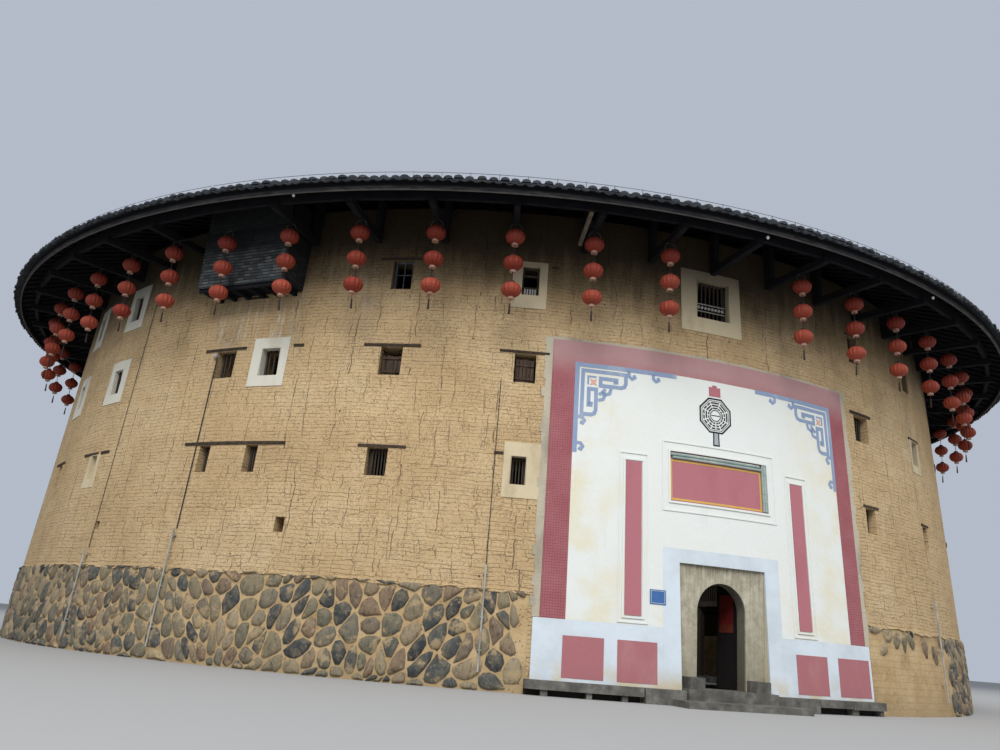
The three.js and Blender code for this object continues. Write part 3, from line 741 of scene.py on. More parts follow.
bm = bmesh.new()
strut_low, strut_high = place(18.25, -2 * BRACKET_STEP, 11.64), place(20.45, -2 * BRACKET_STEP, 12.02)
strut, side = (strut_high - strut_low).normalized(), ring_turn(-2 * BRACKET_STEP) @ Vector((1, 0, 0))
axes = Matrix((strut, side, strut.cross(side))).transposed().to_4x4()
block(bm, ((strut_high - strut_low).length, 0.10, 0.12), Matrix.Translation((strut_low + strut_high) / 2) @ axes,
      (0, -0.14, 0.05))
finish_piece("pale_strut", bm, pale_wood)

# %% Lanterns
LANTERN_RADIUS = 19.64
LANTERN_TOP = 11.037
LANTERN_STEP = 0.759
STRING_TOP = 11.42
LANTERN_WIDTH, LANTERN_HEIGHT = 0.54, 0.42
LANTERN_RIBS = 14


def lantern_cloth():
    r = Recipe("lantern_cloth", roughness=0.6, specular=0.25)
    z = real_height(r)
    colour = r.mix(r.attribute("tint"), (0.20, 0.025, 0.012), (0.31, 0.056, 0.029))
    # Lanterns darker higher up: painted shade of the eaves.
    colour = r.mix(r.step(z, 9.4, 11.2, 0.0, 0.50), colour, (0.12, 0.012, 0.008))
    colour = r.mix(r.step(r.noise(7, 4), 0.42, 0.7, 0.0, 0.35), colour, (0.16, 0.022, 0.014))
    return r.done(colour, r.bump(r.noise(90, 2), 0.002))


def plain(name, colour, roughness=0.6, specular=0.3, spread=0.25, scale=14, metallic=0.0):
    """A paint or cloth of one colour, with soft darker patches."""
    r = Recipe(name, roughness, specular, metallic)
    dark = tuple(c * (1 - spread) for c in colour)
    return r.done(r.mix(r.step(r.noise(scale, 4, 0.6), 0.35, 0.68), colour, dark), r.bump(r.noise(60, 3), 0.002))


def one_lantern():
    """A ribbed lantern about the origin, with a cap above, a pale one below and its cord."""
    bm = bmesh.new()
    bmesh.ops.create_uvsphere(bm, u_segments=2 * LANTERN_RIBS, v_segments=9, radius=0.5)
    for vert in bm.verts:
        turn = math.atan2(vert.co.y, vert.co.x) * LANTERN_RIBS / math.pi
        if round(turn) % 2:
            vert.co.xy *= 0.93
    bmesh.ops.scale(bm, vec=(LANTERN_WIDTH, LANTERN_WIDTH, LANTERN_HEIGHT), verts=bm.verts)
    for slot, segments, low, high, depth, middle in (
            (1, 10, 0.095, 0.080, 0.07, -LANTERN_HEIGHT / 2 - 0.02),
            (2, 10, 0.09, 0.07, 0.05, LANTERN_HEIGHT / 2 + 0.01),
            (2, 4, 0.012, 0.012, LANTERN_STEP - LANTERN_HEIGHT, LANTERN_STEP / 2)):
        for vert in cone(bm, segments, low, high, depth, Matrix.Translation((0, 0, middle)), segments > 4):
            for face in vert.link_faces:
                face.material_index = slot
    return bm


def one_tassel():
    """The dark tassel under the lowest lantern, with its knot."""
    bm = bmesh.new()
    bmesh.ops.create_icosphere(bm, subdivisions=1, radius=0.022, matrix=Matrix.Translation((0, 0, -0.40)))
    cone(bm, 8, 0.030, 0.020, 0.26, Matrix.Translation((0, 0, -0.54)))
    cone(bm, 4, 0.006, 0.006, 0.20, Matrix.Translation((0, 0, -0.30)), capped=False)
    return bm


cloth = lantern_cloth()
cap_pink = plain("lantern_cap", (0.40, 0.235, 0.17), 0.5)
cord_dark = plain("lantern_cord", (0.030, 0.016, 0.014), 0.8)
strings = range(1, BRACKETS)
levels = [LANTERN_TOP - n * LANTERN_STEP for n in range(3)]
rng = random.Random(11)


def hang(bearing, z):
    """A place on a string, with a small turn and lean of its own."""
    turn = Matrix.Rotation(rng.uniform(0, math.tau), 4, "Z")
    lean = Matrix.Rotation(rng.uniform(-0.05, 0.05), 4, "X")
    return Matrix.Translation(place(LANTERN_RADIUS, bearing, z)) @ turn @ lean


spots = [hang(k * BRACKET_STEP, z) for k in strings for z in levels]
lanterns = add_mesh("lanterns", repeat(one_lantern(), spots), (cloth, cap_pink, cord_dark))
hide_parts("lantern_strings_front", "lantern_strings_back")
spots = [hang(k * BRACKET_STEP, levels[-1]) for k in strings]
add_mesh("tassels", repeat(one_tassel(), spots), cord_dark)

# %% Hooks and the pole before the hanging room
HOOK_RADIUS = 0.16


def one_hook():
    """A bent wire from the bracket's underside to the top lantern, at bearing 0."""
    bm = bmesh.new()
    axes = Matrix.Translation((HOOK_RADIUS, 0, 0)) @ Matrix.Rotation(math.pi / 2, 4, "X")
    bmesh.ops.create_circle(bm, segments=5, radius=0.012, matrix=axes)
    bmesh.ops.spin(bm, geom=list(bm.verts) + list(bm.edges), cent=(0, 0, 0), axis=(0, 1, 0),
                   angle=-1.4 * math.pi, steps=12)
    bmesh.ops.recalc_face_normals(bm, faces=bm.faces)
    middle = place(LANTERN_RADIUS, 0, STRING_TOP - HOOK_RADIUS) + Vector((0, 0, 0.01))
    bmesh.ops.translate(bm, vec=middle, verts=bm.verts)
    return bm


hook_wire = plain("hook_wire", (0.10, 0.10, 0.10), 0.5)
turns = [ring_turn(k * BRACKET_STEP) for k in strings]
add_mesh("lantern_hooks", repeat(one_hook(), turns), hook_wire)
bm = bmesh.new()
left_end, right_end = (place(LANTERN_RADIUS, k * BRACKET_STEP, STRING_TOP + 0.01) for k in (-8, -6))
block(bm, ((right_end - left_end).length, 0.05, 0.05),
      Matrix.Translation((left_end + right_end) / 2) @ ring_turn(-7 * BRACKET_STEP))
finish_piece("lantern_pole", bm, dark_wood)

# %% Hanging room
ROOM_BEARING, ROOM_HALF, ROOM_FRONT, ROOM_FOOT = -42.7, 1.51, 19.13, 9.95
SLATE_WIDTH, SLATE_COURSE = 0.21, 0.095


def slate_cladding():
    """Grey-blue slates, each with its own tint, with painted shade at the foot of every row, high up and on the right
    side.
    """
    r = Recipe("slate_cladding", roughness=0.7, specular=0.3)
    z = real_height(r)
    colour = r.ramp(r.attribute("tint"), (0.0, (0.026, 0.029, 0.032)), (0.5, (0.064, 0.069, 0.071)),
                    (0.85, (0.092, 0.098, 0.098)), (1.0, (0.125, 0.130, 0.126)))
    row = r.math("FRACT", r.math("DIVIDE", r.minus(z, ROOM_FOOT), SLATE_COURSE))
    # Painted shade at the foot of every row of slates.
    colour = r.mix(r.step(row, 0.22, 0.46, 0.93, 0.0), colour, (0.004, 0.005, 0.006))
    colour = r.mix(r.step(r.noise(16, 4), 0.45, 0.7, 0.0, 0.5), colour, (0.030, 0.034, 0.034))
    # Painted shade of the eaves over the room's top.
    colour = r.mix(r.step(z, 10.80, 11.20, 0.0, 0.9), colour, (0.005, 0.006, 0.007))
    # The room's right side is painted dark, as in shade.
    right_side = r.step(bearing_of(r), ROOM_BEARING + 4.42, ROOM_BEARING + 4.50, 0.0, 0.75)
    colour = r.mix(right_side, colour, (0.006, 0.007, 0.008))
    return r.done(colour, r.bump(r.noise(40, 4), 0.004))


slate_stone = slate_cladding()
dress(["hanging_room"], dark_wood)
room_turn = ring_turn(ROOM_BEARING)


def slate_rows(start, along, outward, length, foot, top):
    """Frames for lapped slates on one side of the room, each leaning out a little at its foot."""
    frames = []
    for row in range(int((top - foot) / SLATE_COURSE)):
        spot = rng.uniform(-SLATE_WIDTH, 0)
        while spot < length:
            width = SLATE_WIDTH * rng.uniform(0.75, 1.3)
            left, right_end = max(spot, 0), min(spot + width - 0.006, length)
            if right_end - left > 0.03:
                middle = start + along * ((left + right_end) / 2) + outward * (0.028 + rng.uniform(0, 0.008))
                middle = middle + Vector((0, 0, SILL + foot + (row + 0.5) * SLATE_COURSE))
                axes = Matrix((along, outward, along.cross(outward))).transposed().to_4x4()
                lean = Matrix.Rotation(math.radians(rng.uniform(8, 13)), 4, "X")
                size = Matrix.Diagonal((right_end - left, 0.018, SLATE_COURSE * 1.12, 1))
                frames.append(room_turn @ Matrix.Translation(middle) @ axes @ lean @ size)
            spot += width
    return frames


x_axis, y_axis = Vector((1, 0, 0)), Vector((0, 1, 0))
room_top = outer_slope(ROOM_FRONT) - 0.17
side_length = ROOM_FRONT - wall_radius(11) + 0.15
corner_left, corner_right = (Vector((x, -ROOM_FRONT, 0)) for x in (-ROOM_HALF, ROOM_HALF))
frames = []
for start, along_side, outward, length in (
        (corner_left, x_axis, -y_axis, 2 * ROOM_HALF), (corner_right, y_axis, x_axis, side_length),
        (corner_left + y_axis * side_length, -y_axis, -x_axis, side_length)):
    frames += slate_rows(start, along_side, outward, length, ROOM_FOOT, room_top)
bm = bmesh.new()
block(bm, (1, 1, 1))
add_mesh("room_slates", repeat(bm, frames), slate_stone)

bm = bmesh.new()
for share in (-0.95, -0.57, -0.19, 0.19, 0.57, 0.95):
    middle = share * (ROOM_HALF - 0.1), -ROOM_FRONT + 0.50, SILL + ROOM_FOOT - 0.065
    block(bm, (0.11, 0.95, 0.14), room_turn, middle)
block(bm, (2 * ROOM_HALF, 0.07, 0.16), room_turn, (0, -ROOM_FRONT + 0.05, SILL + ROOM_FOOT - 0.04))
finish_piece("room_joists", bm, dark_wood)

# %% [markdown]
# ## Cobble plinth
#
# The foot of the wall is faced with river stones, set upright in tan clay. Every stone has its own outline, so
# one stone can't be repeated. Instead the foot is unrolled into a flat strip, seeds are scattered on it, and
# each seed gets the cell of ground that is nearest to it. Each cell shrinks a little to leave a clay joint, its
# corners are bevelled, and it is pushed out in two steps into a dome. At last the strip is rolled up again.

# %% Rolling a flat strip onto the ring
PLINTH_PROUD = 0.035
FACET_STEP = 360 / FACETS


def chord(bearing, step):
    """How far in from its circle a point of a many-sided ring lies."""
    middle = (math.floor(bearing / step) + 0.5) * step
    return math.cos(math.radians(step / 2)) / math.cos(math.radians(bearing - middle))


def roll(bm, proud, step=FACET_STEP):
    """Rolls a flat strip onto the wall: x runs along it, y into it and z up, from a face that stands proud."""
    for vert in bm.verts:
        x, y, z = vert.co
        turn = math.degrees(x / FOOT_RADIUS)
        vert.co = place((wall_radius(z) + proud - y) * chord(turn, step), turn, z)


# %% Cobbles
STONE_TALL = 1.35                       # how much taller than wide a stone is
STONE_APART = (0.19, 0.50)              # least distances between the middles of small and large stones
STONE_TRIES = 34000
JOINT = (0.008, 0.026)                  # half the clay joint between two stones
PLINTH_FROM, PLINTH_TO = (along(facet * FACET_STEP) for facet in (5, 111))
RENDER_TO = along(31)
STONE_TOP, STONE_FOOT = PLINTH_TOP - 0.015, -SILL + 0.01
rng = random.Random(5)


def stone_seeds():
    """Scattered points, some close together and some far apart, on the unrolled foot squeezed in height."""
    seeds, near = [], {}
    for _ in range(STONE_TRIES):
        spot = Vector((rng.uniform(PLINTH_FROM - 1, PLINTH_TO + 1),
                       rng.uniform(STONE_FOOT - 0.9, STONE_TOP + 0.9) / STONE_TALL))
        apart = rng.uniform(*STONE_APART)
        column = int(spot.x // 0.6)
        others = [o for c in (column - 1, column, column + 1) for o in near.get(c, [])]
        if all((spot - other).length > (apart + their) / 2 for other, their in others):
            near.setdefault(column, []).append((spot, apart))
            seeds.append(spot)
    return seeds


def laid(corner):
    """Stretches a corner back to its height and leans it, this way and that along the wall."""
    tall = corner.y * STONE_TALL
    lean = 0.22 * math.sin(1.3 * corner.x) + 0.20 * math.sin(0.47 * corner.x)
    return Vector((corner.x + lean * (tall - 0.8), tall))


def cells_of(seeds):
    """For each seed, the corners of the cell round it, from the triangles that join the seeds."""
    points, _, triangles, *_ = delaunay_2d_cdt([Vector(s) for s in seeds], [], [], 0, 1e-6)
    corners = [[] for _ in points]
    for a, b, c in triangles:
        p, q, s = points[a], points[b], points[c]
        double = 2 * ((q - p).x * (s - p).y - (q - p).y * (s - p).x)
        if abs(double) < 1e-9:
            continue
        m, n = (q - p).length_squared, (s - p).length_squared
        centre = p + Vector(((s - p).y * m - (q - p).y * n, (q - p).x * n - (s - p).x * m)) / double
        for index in (a, b, c):
            corners[index].append(centre)
    cells = []
    for point, ring in zip(points, corners):
        ring.sort(key=lambda c: math.atan2(c.y - point.y, c.x - point.x))
        ring = [laid(c) for c in ring]
        inside = all(STONE_FOOT - 0.8 < c.y < STONE_TOP + 0.8 and PLINTH_FROM < c.x < PLINTH_TO for c in ring)
        if len(ring) > 2 and inside:
            cells.append([Vector((c.x, min(max(c.y, STONE_FOOT), STONE_TOP))) for c in ring])
    return cells


def stone_kept(centre):
    """Right of the door the foot is rendered with clay, and only a few stones show near its top."""
    if centre.x > RENDER_TO:
        return True
    return 1.25 < centre.y < 1.9 and rng.random() < (0.8 if centre.x < 0.75 * RENDER_TO else 0.3)


def smaller(centre, corner):
    """Moves a corner in by half a joint."""
    away = corner - centre
    return centre + away * max(0.6, 1 - rng.uniform(*JOINT) * 1.2 / max(away.length, 0.05))


bm = bmesh.new()
leans = []
for cell in cells_of(stone_seeds()):
    centre = sum(cell, Vector((0, 0))) / len(cell)
    lean = Vector((rng.uniform(-0.07, 0.07), rng.uniform(-0.07, 0.07)))
    tall = max(c.y for c in cell) - min(c.y for c in cell)
    if stone_kept(centre) and tall > 0.10:
        bm.faces.new([bm.verts.new((*smaller(centre, c), 0)) for c in cell])
        leans.append(lean)
bmesh.ops.bevel(bm, geom=list(bm.verts), offset=30, offset_type="PERCENT", affect="VERTICES", segments=1,
                profile=0.5, material=-1)
for vert in bm.verts:
    x, z = vert.co.xy
    vert.co.x += 0.012 * math.sin(23 * z + 5 * x)
    vert.co.y = min(max(z + 0.012 * math.sin(19 * x + 7 * z), STONE_FOOT), STONE_TOP)
number = bm.faces.layers.int.new("number")      # extruding returns the faces in an order of its own
tops = list(bm.faces)
for k, face in enumerate(tops):
    face[number] = k
for size, rise in ((0.90, 0.036), (0.64, 0.030)):
    tops = sorted(bmesh.ops.extrude_discrete_faces(bm, faces=tops)["faces"], key=lambda face: face[number])
    for face, lean in zip(tops, leans):
        centre = face.calc_center_median()
        for vert in face.verts:
            away = vert.co - centre
            vert.co = centre + away * size + Vector((0, 0, rise + (lean.dot(away.xy) if size < 0.7 else 0)))
bmesh.ops.poke(bm, faces=tops, offset=0.008)
bm.faces.layers.int.remove(number)
for vert in bm.verts:
    x, z, out = vert.co
    vert.co = (x, 0.006 - out, z)
roll(bm, PLINTH_PROUD, BRACKET_STEP)
print("cobbles:", len(leans))


def islands_tint(mesh):
    """Gives each loose part of a mesh its own shade in an attribute named tint."""
    parent = list(range(len(mesh.vertices)))

    def root(v):
        while parent[v] != v:
            parent[v] = parent[parent[v]]
            v = parent[v]
        return v

    for a, b in mesh.edge_keys:
        parent[root(a)] = root(b)
    shades, draw = {}, random.Random(3)
    values = [shades.setdefault(root(v), draw.random()) for v in range(len(mesh.vertices))]
    mesh.attributes.new("tint", "FLOAT", "POINT").data.foreach_set("value", values)


def cobble_stone():
    r = Recipe("cobble_stone", roughness=0.8, specular=0.3)
    tint = r.attribute("tint")
    mottle = r.noise(9, 5, 0.65)
    base = r.ramp(tint, (0.0, (0.030, 0.036, 0.040)), (0.22, (0.066, 0.073, 0.070)), (0.34, (0.130, 0.122, 0.084)),
                  (0.48, (0.215, 0.175, 0.105)), (0.60, (0.290, 0.230, 0.140)), (0.72, (0.135, 0.125, 0.095)),
                  (0.84, (0.190, 0.120, 0.075)), (1.0, (0.330, 0.260, 0.160)))
    colour = r.mix(r.step(mottle, 0.40, 0.66, 0.0, 0.50), base, (0.25, 0.200, 0.125))
    veins = r.noise(1.0, 5, 0.7, r.scaled((26, 26, 9)))
    colour = r.mix(r.step(veins, 0.50, 0.66, 0.0, 0.62), colour, (0.030, 0.030, 0.027))
    colour = r.mix(r.step(r.noise(20, 5, 0.75), 0.56, 0.70, 0.0, 0.45), colour, (0.46, 0.40, 0.29))
    colour = r.mix(r.step(r.noise(3.4, 5, 0.7), 0.53, 0.62, 0.0, 0.72), colour, (0.42, 0.305, 0.165))
    return r.done(colour, r.bump(r.noise(30, 5, 0.75), 0.014))


def clay():
    r = Recipe("clay", roughness=0.95, specular=0.15)
    colour = r.ramp(r.noise(3.0, 5, 0.6), (0.30, (0.35, 0.235, 0.115)), (0.52, (0.46, 0.325, 0.170)),
                    (0.74, (0.53, 0.395, 0.225)))
    pits = r.patchy(r.dots(22, 0.08, 0.22), 4.1, 2, 0.45, 0.6)
    colour = r.mix(r.times(pits, 0.6), colour, (0.14, 0.09, 0.045))
    z = real_height(r)
    lines = r.lines(r.math("MULTIPLY_ADD", r.noise(5, 3), 0.05, z), 0.18, 0.014)
    right_side = between(r, bearing_of(r), 15, 31, 0.6)
    colour = r.mix(r.times(r.times(lines, right_side), 0.45), colour, (0.20, 0.13, 0.06))
    colour = r.mix(r.step(z, -0.4, 0.5, 0.55, 0.0), colour, (0.30, 0.22, 0.12))
    height = r.minus(r.noise(14, 5, 0.7), pits)
    return r.done(colour, r.bump(height, 0.016))


cobbles = finish_piece("cobbles", bm, cobble_stone(), smooth=True)
islands_tint(cobbles.data)

# %% Ragged foot of the earth, which hangs over the stones
LIP_STEP = 0.17
lip = bmesh.new()
count = round((PLINTH_TO - PLINTH_FROM) / LIP_STEP)
foot = 0.0
upper, lower = [], []
for k in range(count + 1):
    x = PLINTH_FROM + (PLINTH_TO - PLINTH_FROM) * k / count
    foot = 0.5 * foot + 0.5 * rng.choice((0.01, 0.03, 0.05, 0.10, 0.14))
    upper.append(lip.verts.new((x, 0.02, PLINTH_TOP + 0.012)))
    lower.append(lip.verts.new((x, 0.02, PLINTH_TOP - foot)))
faces = [lip.faces.new((lower[k], lower[k + 1], upper[k + 1], upper[k])) for k in range(count)]
for vert in extruded(lip, faces):
    vert.co.y = -0.040 if vert.co.z < PLINTH_TOP else -0.018
roll(lip, PLINTH_PROUD, BRACKET_STEP)
finish_piece("earth_lip", lip, earth)
dress(["cobble_plinth_left", "cobble_plinth_right"], clay())

# %% [markdown]
# ## Windows
#
# Few windows of an earth house are alike. Some have a ring of white plaster, some only a log let into the wall
# above them, and most have upright bars. Lintels and plaster rings follow the curve of the wall, so they are
# short outlines spun through the angle they cover. Bars are boxes, set a hand's depth into the hole.

# %% Window pieces
ROWS = {2: (4.58, 5.34), 3: (7.37, 8.20), 4: (9.95, 10.85)}     # foot and top of each storey's windows
SHUTTER_BOARDS = 5


def arc_strip(bm, start, end, foot, top, proud, depth=0.05, step=1.0):
    """A strip that follows the wall between two bearings and two heights."""
    outline = [(wall_radius(foot) - depth, foot), (wall_radius(foot) + proud, foot),
               (wall_radius(top) + proud, top), (wall_radius(top) - depth, top)]
    verts = [bm.verts.new(place(radius, start, z)) for radius, z in outline]
    face = bm.faces.new(verts)
    bmesh.ops.spin(bm, geom=[face, *face.edges, *face.verts], cent=(0, 0, 0), axis=(0, 0, 1),
                   angle=math.radians(end - start), steps=max(1, round((end - start) / step)))


def half_hole(width):
    """Half the width of a hole in metres, at the height of the fourth storey's foot."""
    return wall_radius(10) * math.sin(math.radians(width / 2))


def upright_bars(bm, bearing, width, foot, top, count, depth=0.22, thick=0.032):
    half = half_hole(width)
    axes = seat(bearing, (foot + top) / 2, -depth, lean=0)
    for k in range(count):
        x = -half + (k + 1) * 2 * half / (count + 1)
        block(bm, (thick, thick, top - foot), axes, (x, 0, 0))


def inner_frame(bm, bearing, width, foot, top, depth, thick=0.055):
    """A timber frame set into the hole."""
    half = half_hole(width)
    axes = seat(bearing, (foot + top) / 2, -depth, lean=0)
    tall = (top - foot) / 2
    for z in (-tall + thick / 2, tall - thick / 2):
        block(bm, (2 * half, 0.06, thick), axes, (0, 0, z))
    for x in (-half + thick / 2, half - thick / 2):
        block(bm, (thick, 0.06, 2 * tall), axes, (x, 0, 0))


def plaster_ring(bm, left, right_edge, foot, top, hole, proud=0.018):
    """A ring of plaster round a hole, given by its own edges and the hole's, with a lining inside the hole."""
    hole_left, hole_right, hole_foot, hole_top = hole
    arc_strip(bm, left, hole_left, foot, top, proud, 0.03)
    arc_strip(bm, hole_right, right_edge, foot, top, proud, 0.03)
    if foot < hole_foot:
        arc_strip(bm, hole_left, hole_right, foot, hole_foot, proud, 0.03)
    if top > hole_top:
        arc_strip(bm, hole_left, hole_right, hole_top, top, proud, 0.03)
    middle, tall = (hole_left + hole_right) / 2, hole_top - hole_foot
    half = half_hole(hole_right - hole_left)
    axes = seat(middle, (hole_foot + hole_top) / 2, lean=0)
    for side in (-1, 1):
        slant = Matrix.Rotation(-side * 0.055, 4, "Z")
        block(bm, (0.016, 0.34, tall), axes @ Matrix.Translation((side * half, 0.16, 0)) @ slant)
    block(bm, (2 * half, 0.34, 0.016), axes, (0, 0.16, -tall / 2 + 0.004))
    block(bm, (2 * half, 0.34, 0.016), axes, (0, 0.16, tall / 2 - 0.004))


def hole_edges(bearing, width, storey):
    foot, top = ROWS[storey]
    return bearing - width / 2, bearing + width / 2, foot, top


# %% Windows
lintels, bars, pale_bars, shutters, pane_bars = (bmesh.new() for _ in range(5))
white_rings, cream_rings = bmesh.new(), bmesh.new()

for start, end, z, height in (
        (-30.5, -26.5, 10.87, 0.07), (-15.2, -14.6, 10.83, 0.07), (-5.0, -3.7, 11.20, 0.08), (3.3, 4.4, 11.20, 0.08),
        (-47.4, -42.6, 8.22, 0.09), (-37.6, -36.6, 8.22, 0.09), (-30.9, -25.9, 8.21, 0.09), (-19.2, -15.0, 8.21, 0.08),
        (-47.2, -36.6, 5.36, 0.10), (-30.1, -26.1, 5.35, 0.08), (-19.0, -18.25, 5.36, 0.08),
        (-74.2, -70.3, 5.36, 0.08), (-64.0, -60.9, 5.36, 0.09), (-60.2, -58.6, 5.36, 0.09),
        (16.3, 19.7, 8.22, 0.10), (16.9, 19.3, 5.36, 0.07), (28.5, 31.4, 8.22, 0.08), (28.9, 31.0, 5.36, 0.07),
        (16.9, 19.2, 10.87, 0.07), (28.8, 31.0, 10.87, 0.07), (-44.0, -41.4, 9.82, 0.07)):
    arc_strip(lintels, start, end, z, z + 0.8 * height, 0.028)

for bearing in (45 + 11.25 * k for k in range(21)):
    for storey, (width, reach) in {2: (1.3, 1.2), 3: (1.8, 1.5), 4: (1.6, 1.2)}.items():
        foot, top = ROWS[storey]
        left_reach, right_reach = (width / 2 + reach * rng.uniform(0.5, 1.0) for _ in range(2))
        arc_strip(lintels, bearing - left_reach, bearing + right_reach, top + 0.01, top + 0.09, 0.028)
        upright_bars(bars, bearing, width, foot, top, 5)
        inner_frame(bars, bearing, width, foot, top, 0.27)

for bearing, width, storey, count in (
        (-44.8, 1.1, 2, 4), (-39.8, 1.1, 2, 4), (-28.4, 1.6, 2, 5), (-17, 1.3, 2, 4), (-44.8, 2.0, 3, 3),
        (-39.8, 2.0, 3, 3), (18, 1.4, 2, 4), (29.9, 1.2, 2, 4), (18, 2.0, 3, 4), (29.9, 1.8, 3, 4), (18, 1.4, 4, 4),
        (29.9, 1.6, 4, 4), (-61.3, 1.8, 4, 3), (-61.3, 1.8, 3, 3), (-72, 1.6, 4, 3), (-72, 1.6, 3, 3),
        (-72, 1.3, 2, 3)):
    foot, top = ROWS[storey]
    depth = 0.10 if bearing < -60 else 0.22
    upright_bars(bars, bearing, width, foot, top, count, depth)
    inner_frame(bars, bearing, width, foot, top, depth + 0.05)

foot, top = ROWS[4]
inner_frame(pane_bars, -28.4, 1.6, foot, top, 0.20, 0.03)
half = half_hole(1.6)
axes = seat(-28.4, (foot + top) / 2, -0.20, lean=0)
block(pane_bars, (0.020, 0.03, top - foot), axes)
block(pane_bars, (2 * half, 0.03, 0.020), axes, (0, 0, 0.06))

inner_frame(bars, -17, 1.6, foot, top, 0.16, 0.07)
axes = seat(-17, foot, -0.16, lean=0)
half = half_hole(1.6)
for k in range(5):
    block(pale_bars, (0.045, 0.04, 0.20), axes, (-half + 0.11 + k * (2 * half - 0.22) / 4, -0.03, 0.13))
block(bars, (2 * half, 0.05, 0.05), axes, (0, -0.03, 0.25))
block(bars, (2 * half, 0.05, 0.06), axes, (0, 0, 0.62))

upright_bars(bars, 0, 3.4, 10.0, 11.2, 7, 0.20, 0.04)
inner_frame(bars, 0, 3.4, 10.0, 11.2, 0.24, 0.08)
axes = seat(0, 10.0, -0.18, lean=0)
half = half_hole(3.4)
for z in (0.28, 0.50):
    block(pale_bars, (2 * half - 0.16, 0.03, 0.022), axes, (0, 0, z))
for k in range(8):
    x = -half + 0.15 + k * (2 * half - 0.30) / 7
    turn = Matrix.Rotation(math.pi / 2, 4, "X")
    cone(pale_bars, 8, 0.045, 0.045, 0.03, axes @ Matrix.Translation((x, 0, 0.39)) @ turn)

for bearing, width, storey, low_part in ((-28.4, 1.7, 3, 0.74), (-17, 1.6, 3, 0.86)):
    foot, top = ROWS[storey]
    half = half_hole(width)
    axes = seat(bearing, foot, -0.20, lean=0)
    wide = 2 * half / SHUTTER_BOARDS
    for k in range(SHUTTER_BOARDS):
        tall = (top - foot) * low_part * rng.uniform(0.94, 1.0)
        middle = -half + (k + 0.5) * wide, rng.uniform(-0.01, 0.01), tall / 2
        block(shutters, (wide - 0.012, 0.03, tall), axes, middle)
    for z in (0.14, 0.52):
        block(shutters, (2 * half, 0.035, 0.05), axes, (0, -0.03, z))
bmesh.ops.create_uvsphere(pale_bars, u_segments=14, v_segments=8, radius=0.075, matrix=seat(-45.95, 8.06, 0.06))

for bearing, width, storey in ((-72, 1.6, 4), (-61.3, 1.8, 4), (-72, 1.6, 3), (-61.3, 1.8, 3)):
    left, right_edge, foot, top = hole_edges(bearing, width, storey)
    plaster_ring(white_rings, left - 1.0, right_edge + 1.0, foot - 0.32, top + 0.32, (left, right_edge, foot, top))
plaster_ring(white_rings, -41.75, -38.05, 7.05, 8.52, hole_edges(-39.8, 2.0, 3))
plaster_ring(cream_rings, -18.65, -15.55, 9.55, 10.98, hole_edges(-17, 1.6, 4))
plaster_ring(cream_rings, -18.2, -15.2, 4.24, 5.70, hole_edges(-17, 1.3, 2))
plaster_ring(cream_rings, -3.25, 2.85, 9.55, 11.48, (-1.7, 1.7, 10.0, 11.2))
plaster_ring(cream_rings, -62.6, -60.2, 4.30, 5.36, hole_edges(-61.3, 1.3, 2), 0.01)
plaster_ring(cream_rings, 28.6, 31.3, 7.1, 8.3, hole_edges(29.9, 1.8, 3), 0.012)
arc_strip(cream_rings, -61.9, -60.7, 4.62, 5.30, -0.16, 0.20)

lintel_wood = weathered_wood("lintel_wood", (0.024, 0.017, 0.012), (0.075, 0.054, 0.038))
bar_wood = weathered_wood("bar_wood", (0.030, 0.024, 0.019), (0.085, 0.065, 0.048))
shutter_wood = weathered_wood("shutter_wood", (0.030, 0.020, 0.013), (0.115, 0.078, 0.054))


def plaster(name, base, stain, amount=0.5, bump=0.004):
    """Lime plaster or paint on it, with soft stains, fine grain and painted shade high under the eaves."""
    r = Recipe(name, roughness=0.92, specular=0.2)
    runs = r.noise(1.0, 5, 0.6, r.scaled((3.0, 3.0, 1.2)))
    colour = r.mix(r.step(runs, 0.46, 0.74, 0.0, amount), base, stain)
    colour = r.mix(r.step(r.noise(26, 4, 0.7), 0.58, 0.74, 0.0, 0.25), colour, tuple(0.6 * s for s in stain))
    # Painted shade of the eaves, darker towards the top.
    colour = r.mix(r.step(real_height(r), 10.2, 11.7, 0.0, 0.8), colour, (0.050, 0.044, 0.036))
    return r.done(colour, r.bump(r.noise(18, 5, 0.65), bump))


white_lime = plaster("white_lime", (0.59, 0.565, 0.475), (0.44, 0.385, 0.28), 0.6)
cream_lime = plaster("cream_lime", (0.56, 0.47, 0.31), (0.36, 0.28, 0.16), 0.7)
finish_piece("window_lintels", lintels, lintel_wood)
finish_piece("window_bars", bars, bar_wood)
finish_piece("window_pale_bars", pale_bars, plaster("bar_paint", (0.42, 0.41, 0.37), (0.25, 0.22, 0.17)))
finish_piece("window_pane_bars", pane_bars, plain("pane_paint", (0.105, 0.115, 0.135)))
finish_piece("window_shutters", shutters, shutter_wood)
finish_piece("window_white_rings", white_rings, white_lime)
finish_piece("window_cream_rings", cream_rings, cream_lime)

# %% [markdown]
# ## The entrance
#
# Round the door the wall is plastered white, with a rose border, pale blue bands and painted ornament. The
# plaster keeps its solids. Painted lines are thin ribbons: a line of points is widened to both sides, cut into
# short stretches so that it can follow the curve of the wall, made a few millimetres thick and rolled on.

# %% Ribbons
PANEL_PROUD = 0.06
PAINT, SUNK = 0.007, 0.004              # how far painted ornament stands out, and how deep it starts


